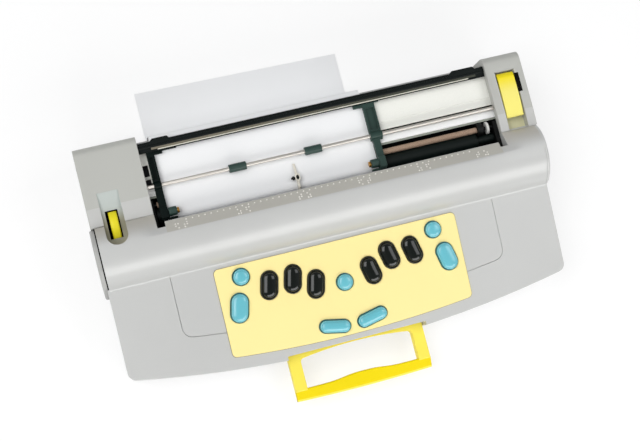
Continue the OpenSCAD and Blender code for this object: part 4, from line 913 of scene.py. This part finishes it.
def make_lever_slot():
    """Painted shade in the lever's slot: a dark patch on the right of the lever, and a dark plate on the
    wall on its left.
    """
    shade_on_right = bevel(brick((213.3, 217.6), (93.6, 112.6), (73.2, 74.47)), 0.05, 1)
    shade_on_wall = bevel(brick((194.3, 195.0), (104, 117.3), (62.6, 73.4)), 0.1, 1)
    add("lever_slot_painted_shade", join(shade_on_right, shade_on_wall), "seam_and_painted_shade", "right_end_cover", stands_for=False)


# Paper path

# Height of the bed, the ends of the bar over it, and the inner sides of the end covers
BED_Z = 63.9
BAR_X = (-163.0, 185.1)
LEFT_IN = -163.3
RIGHT_IN = 185.4
# Axles of the bail rod and of the pinch rollers, (y, z)
BAIL = (84.3, 68.6)
PINCH = (57.4, 68.9)


def make_bar():
    """Channel over the sheet: a dark lip in front, a pale strip, the felt's groove, and a ridge with
    two humps."""
    low = 64.7
    profile = [(118.3, low), (127, low), (127, 69.4), (126.4, 70.5), (121.5, 70.6), (120.9, 70.1),
               (120.8, 69.5), (117.6, 69.5), (117.5, 69.9), (116.7, 69.9), (116.6, 69.3), (118.3, 69.0)]
    bm = bevel(prism(profile, *BAR_X), 0.15, 2, 35)
    ridge = [(122.8, 70.4), (124.3, 70.4), (124.1, 71.0), (123.0, 71.0)]
    ridge = bevel(prism(ridge, *BAR_X), 0.15, 2, 35)
    humps = []
    for x0, x1 in ((-153.3, -130.0), (148.0, 178.4)):
        mid = (x0 + x1) / 2
        rings = []
        for z, k in ((67, 0), (71.2, 0), (71.55, 0.2), (71.7, 0.6)):
            plan = [(x0 - 2, 123.0), (x1 + 1, 123.0), (x1 - 4.0, 128.9), (x0 + 5.0, 128.9)]
            rings.append([P(x + (mid - x) * k / 12, y + (126 - y) * k / 3, z) for x, y in plan])
        humps.append(loft(rings))
    legs = [bevel(brick(x, (118.2, 124.2), (BED_Z + 0.01, low + 1)), 0.2, 1)
            for x in ((LEFT_IN + 0.3, LEFT_IN + 6.7), (RIGHT_IN - 6.7, RIGHT_IN - 0.3))]
    add("rear_bar_channel", join(bm, ridge, *humps, *legs), "bar", "rear_paper_bar")
    felt = bevel(brick((BAR_X[0] + 12, BAR_X[1] - 9), (118.7, 120.75), (69.45, 69.9)), 0.15, 2)
    add("bar_felt", felt, "felt", "bar_felt_strip")
    edge = bevel(brick((BAR_X[0] + 18, BAR_X[1] - 17), (117.7, 118.6), (69.45, 69.8)), 0.1, 2)
    add("bar_edge_strip", edge, "bar_edge", "bar_felt_strip", stands_for=False)


def make_rollers():
    ends = [v.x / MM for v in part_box("bail_rod")]
    add("bail_rod_bar", roller(*ends, 1.9, 0.01, 0.3, BAIL), "steel", "bail_rod", flat=False)
    for node, x in (("left_bail_roller", -75.5), ("right_bail_roller", -0.5)):
        add(node + "_tube", roller(x - 8.5, x + 8.5, 4.0, 1.96, 0.5, BAIL), "rubber", node)
    for node, x in (("left_pinch_roller", (-149.0, -141.2)), ("right_pinch_roller", (51.0, 58.8))):
        add(node + "_tube", roller(*x, 4.3, 1.56, 0.6, PINCH), "rubber", node)
    axis = (67.4, 60.6)
    core = roller(-158, 164.8, 2.9, 0.01, 0.2, axis)
    stubs = roller(-169.2, 190.7, 1.5, 0.01, 0.1, axis)
    add("friction_core", core, "brown", "friction_roller")
    drum = roller(165.1, 170.8, 6.1, 1.52, 0.5, axis)
    add("friction_drum", join(stubs, drum), "dark", "friction_roller", stands_for=False)
    add("friction_disc", roller(174.4, 176.8, 6.1, 1.52, 0.4, axis), "white_part", "friction_roller",
        stands_for=False)
    feed = roller(-160, 163, 8, 3.02, 0.6, FEED)
    hub = roller(162, 181.2, 4.6, 3.02, 0.3, FEED)
    add("feed_roller_tube", join(feed, hub), "feed_rubber", "feed_roller")


def make_guides():
    soften("left_paper_guide", 0.3, "guide_black")
    soften("right_paper_guide", 0.35, "guide_grey")
    # Brass ends of the pins of the two pinch rollers
    for like, x in (("left_paper_guide", (-140.9, -138.9)), ("right_paper_guide", (48.7, 50.7))):
        end = roller(x[0] - 0.05, x[1] + 0.05, 2.8, 0.01, 0.4, PINCH)
        add(like + "_pin_cap", end, "brass", like, stands_for=False)


def make_bed():
    """Table and platen, with a lip along the platen's front."""
    soften("paper_table", 0.25, "table")
    soften("platen_strip", 0.3, "platen")
    ends = [v.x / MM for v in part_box("platen_strip")]
    lip = bevel(brick((ends[0] + 0.3, ends[1] - 0.3), (74.0, 76.5), (61.9, 62.7)), 0.2, 2)
    add("platen_lip", lip, "platen_lip", "platen_strip", stands_for=False)


def make_finger():
    """Pale arm from the head over the sheet, with a dark-centred eye and a dark pin on its left."""
    x = -22.0
    side = [(40.0, 58.2), (48.6, 60.4), (54, 65.2), (66, 65.2), (75.6, 65.1), (75.6, 65.9), (66, 67.2),
            (58, 68.4), (52, 68.9), (46.5, 63.0), (40, 61.2)]
    arm = bevel(prism(side, x - 1.1, x + 1.1), 0.25, 2)
    eye_x = x + 0.4
    eye_y = 61.6
    ring = ((2.3, 67.6), (4.0, 67.6), (4.3, 68.0), (4.0, 69.0), (2.6, 69.2), (2.3, 68.9))
    eye = []
    for k in range(28):
        a = 2 * math.pi * k / 28
        c, s = math.cos(a), math.sin(a)
        eye.append([P(eye_x + q * 0.62 * c, eye_y + q * s, z) for q, z in ring])
    add("finger_arm", join(arm, loft(eye, closed=True)), "finger", "head_finger")
    axis = (61.5, 67.4)
    pin = roller(x - 6, x - 0.8, 1.1, 0.01, 0.3, axis)
    knob = roller(x - 4.6, x - 2.6, 1.9, 0.01, 0.5, axis)
    add("finger_pin", join(pin, knob), "dark", "head_finger", stands_for=False)
    turns = [2 * math.pi * k / 24 for k in range(24)]
    hole = slab([(eye_x + 1.45 * math.cos(a), eye_y + 2.35 * math.sin(a)) for a in turns], 67.7, 68.5)
    add("finger_eye", hole, "dark", "head_finger", stands_for=False)


# Raised dots on the ledge

# From dot to dot in a cell, from cell to cell, and from the middle of a pair of cells to each
DOT_PITCH = 2.5
CELL_PITCH = 6.0
CELL_HALF = 4.2


def ledge_point(x, along):
    """Point on the ledge, along millimetres down its slope."""
    a = math.radians(LEDGE_SLOPE)
    return P(x, LEDGE_Y + along * math.cos(a), LEDGE_TOP - along * math.sin(a))


def dome(at, up, r, h, n=10, rows=3):
    """Small dome of radius r and height h, sunk a little into the surface at its foot."""
    side = Vector((1, 0, 0))
    fore = up.cross(side)
    rings = []
    for k in range(rows):
        a = math.pi / 2 * k / rows
        rings.append([at + (side * math.cos(t) + fore * math.sin(t)) * r * MM * math.cos(a)
                      + up * h * MM * (math.sin(a) + (-0.2 if k == 0 else 0))
                      for t in [2 * math.pi * i / n for i in range(n)]])
    return loft(rings)


def make_ledge_dots():
    """A row with one dot per cell, and in front of it a pair of cells for every ten."""
    a = math.radians(LEDGE_SLOPE)
    up = Vector((0, math.sin(a), math.cos(a)))
    spots = [(-135.4 + CELL_PITCH * i, 10.3) for i in range(48)]
    for g in range(6):
        middle = -141.0 + 59.7 * g
        for c, side in enumerate((-1, 1)):
            for i in range(6):
                if (i + g + 2 * c) % 3:
                    x = middle + CELL_HALF * side + DOT_PITCH * (i % 2 - 0.5)
                    spots.append((x, 2.1 + DOT_PITCH * (i // 2)))
    bm = join(*[dome(ledge_point(x, s), up, 0.85, 0.75) for x, s in spots])
    # In the near-white dot material: painted highlights
    add("ledge_dots", bm, "dots", "top_casing", stands_for=False, smooth=60)


make_camera()
make_light()
make_floor()
dress_nodes()
make_housing()
make_panel_shadow_rim()
make_shoulders()
make_toe()
make_cheeks()
make_keys()
make_grip()
make_arms()
make_wheel()
make_lever()
make_lever_slot()
make_bar()
make_rollers()
make_guides()
make_bed()
make_finger()
make_ledge_dots()
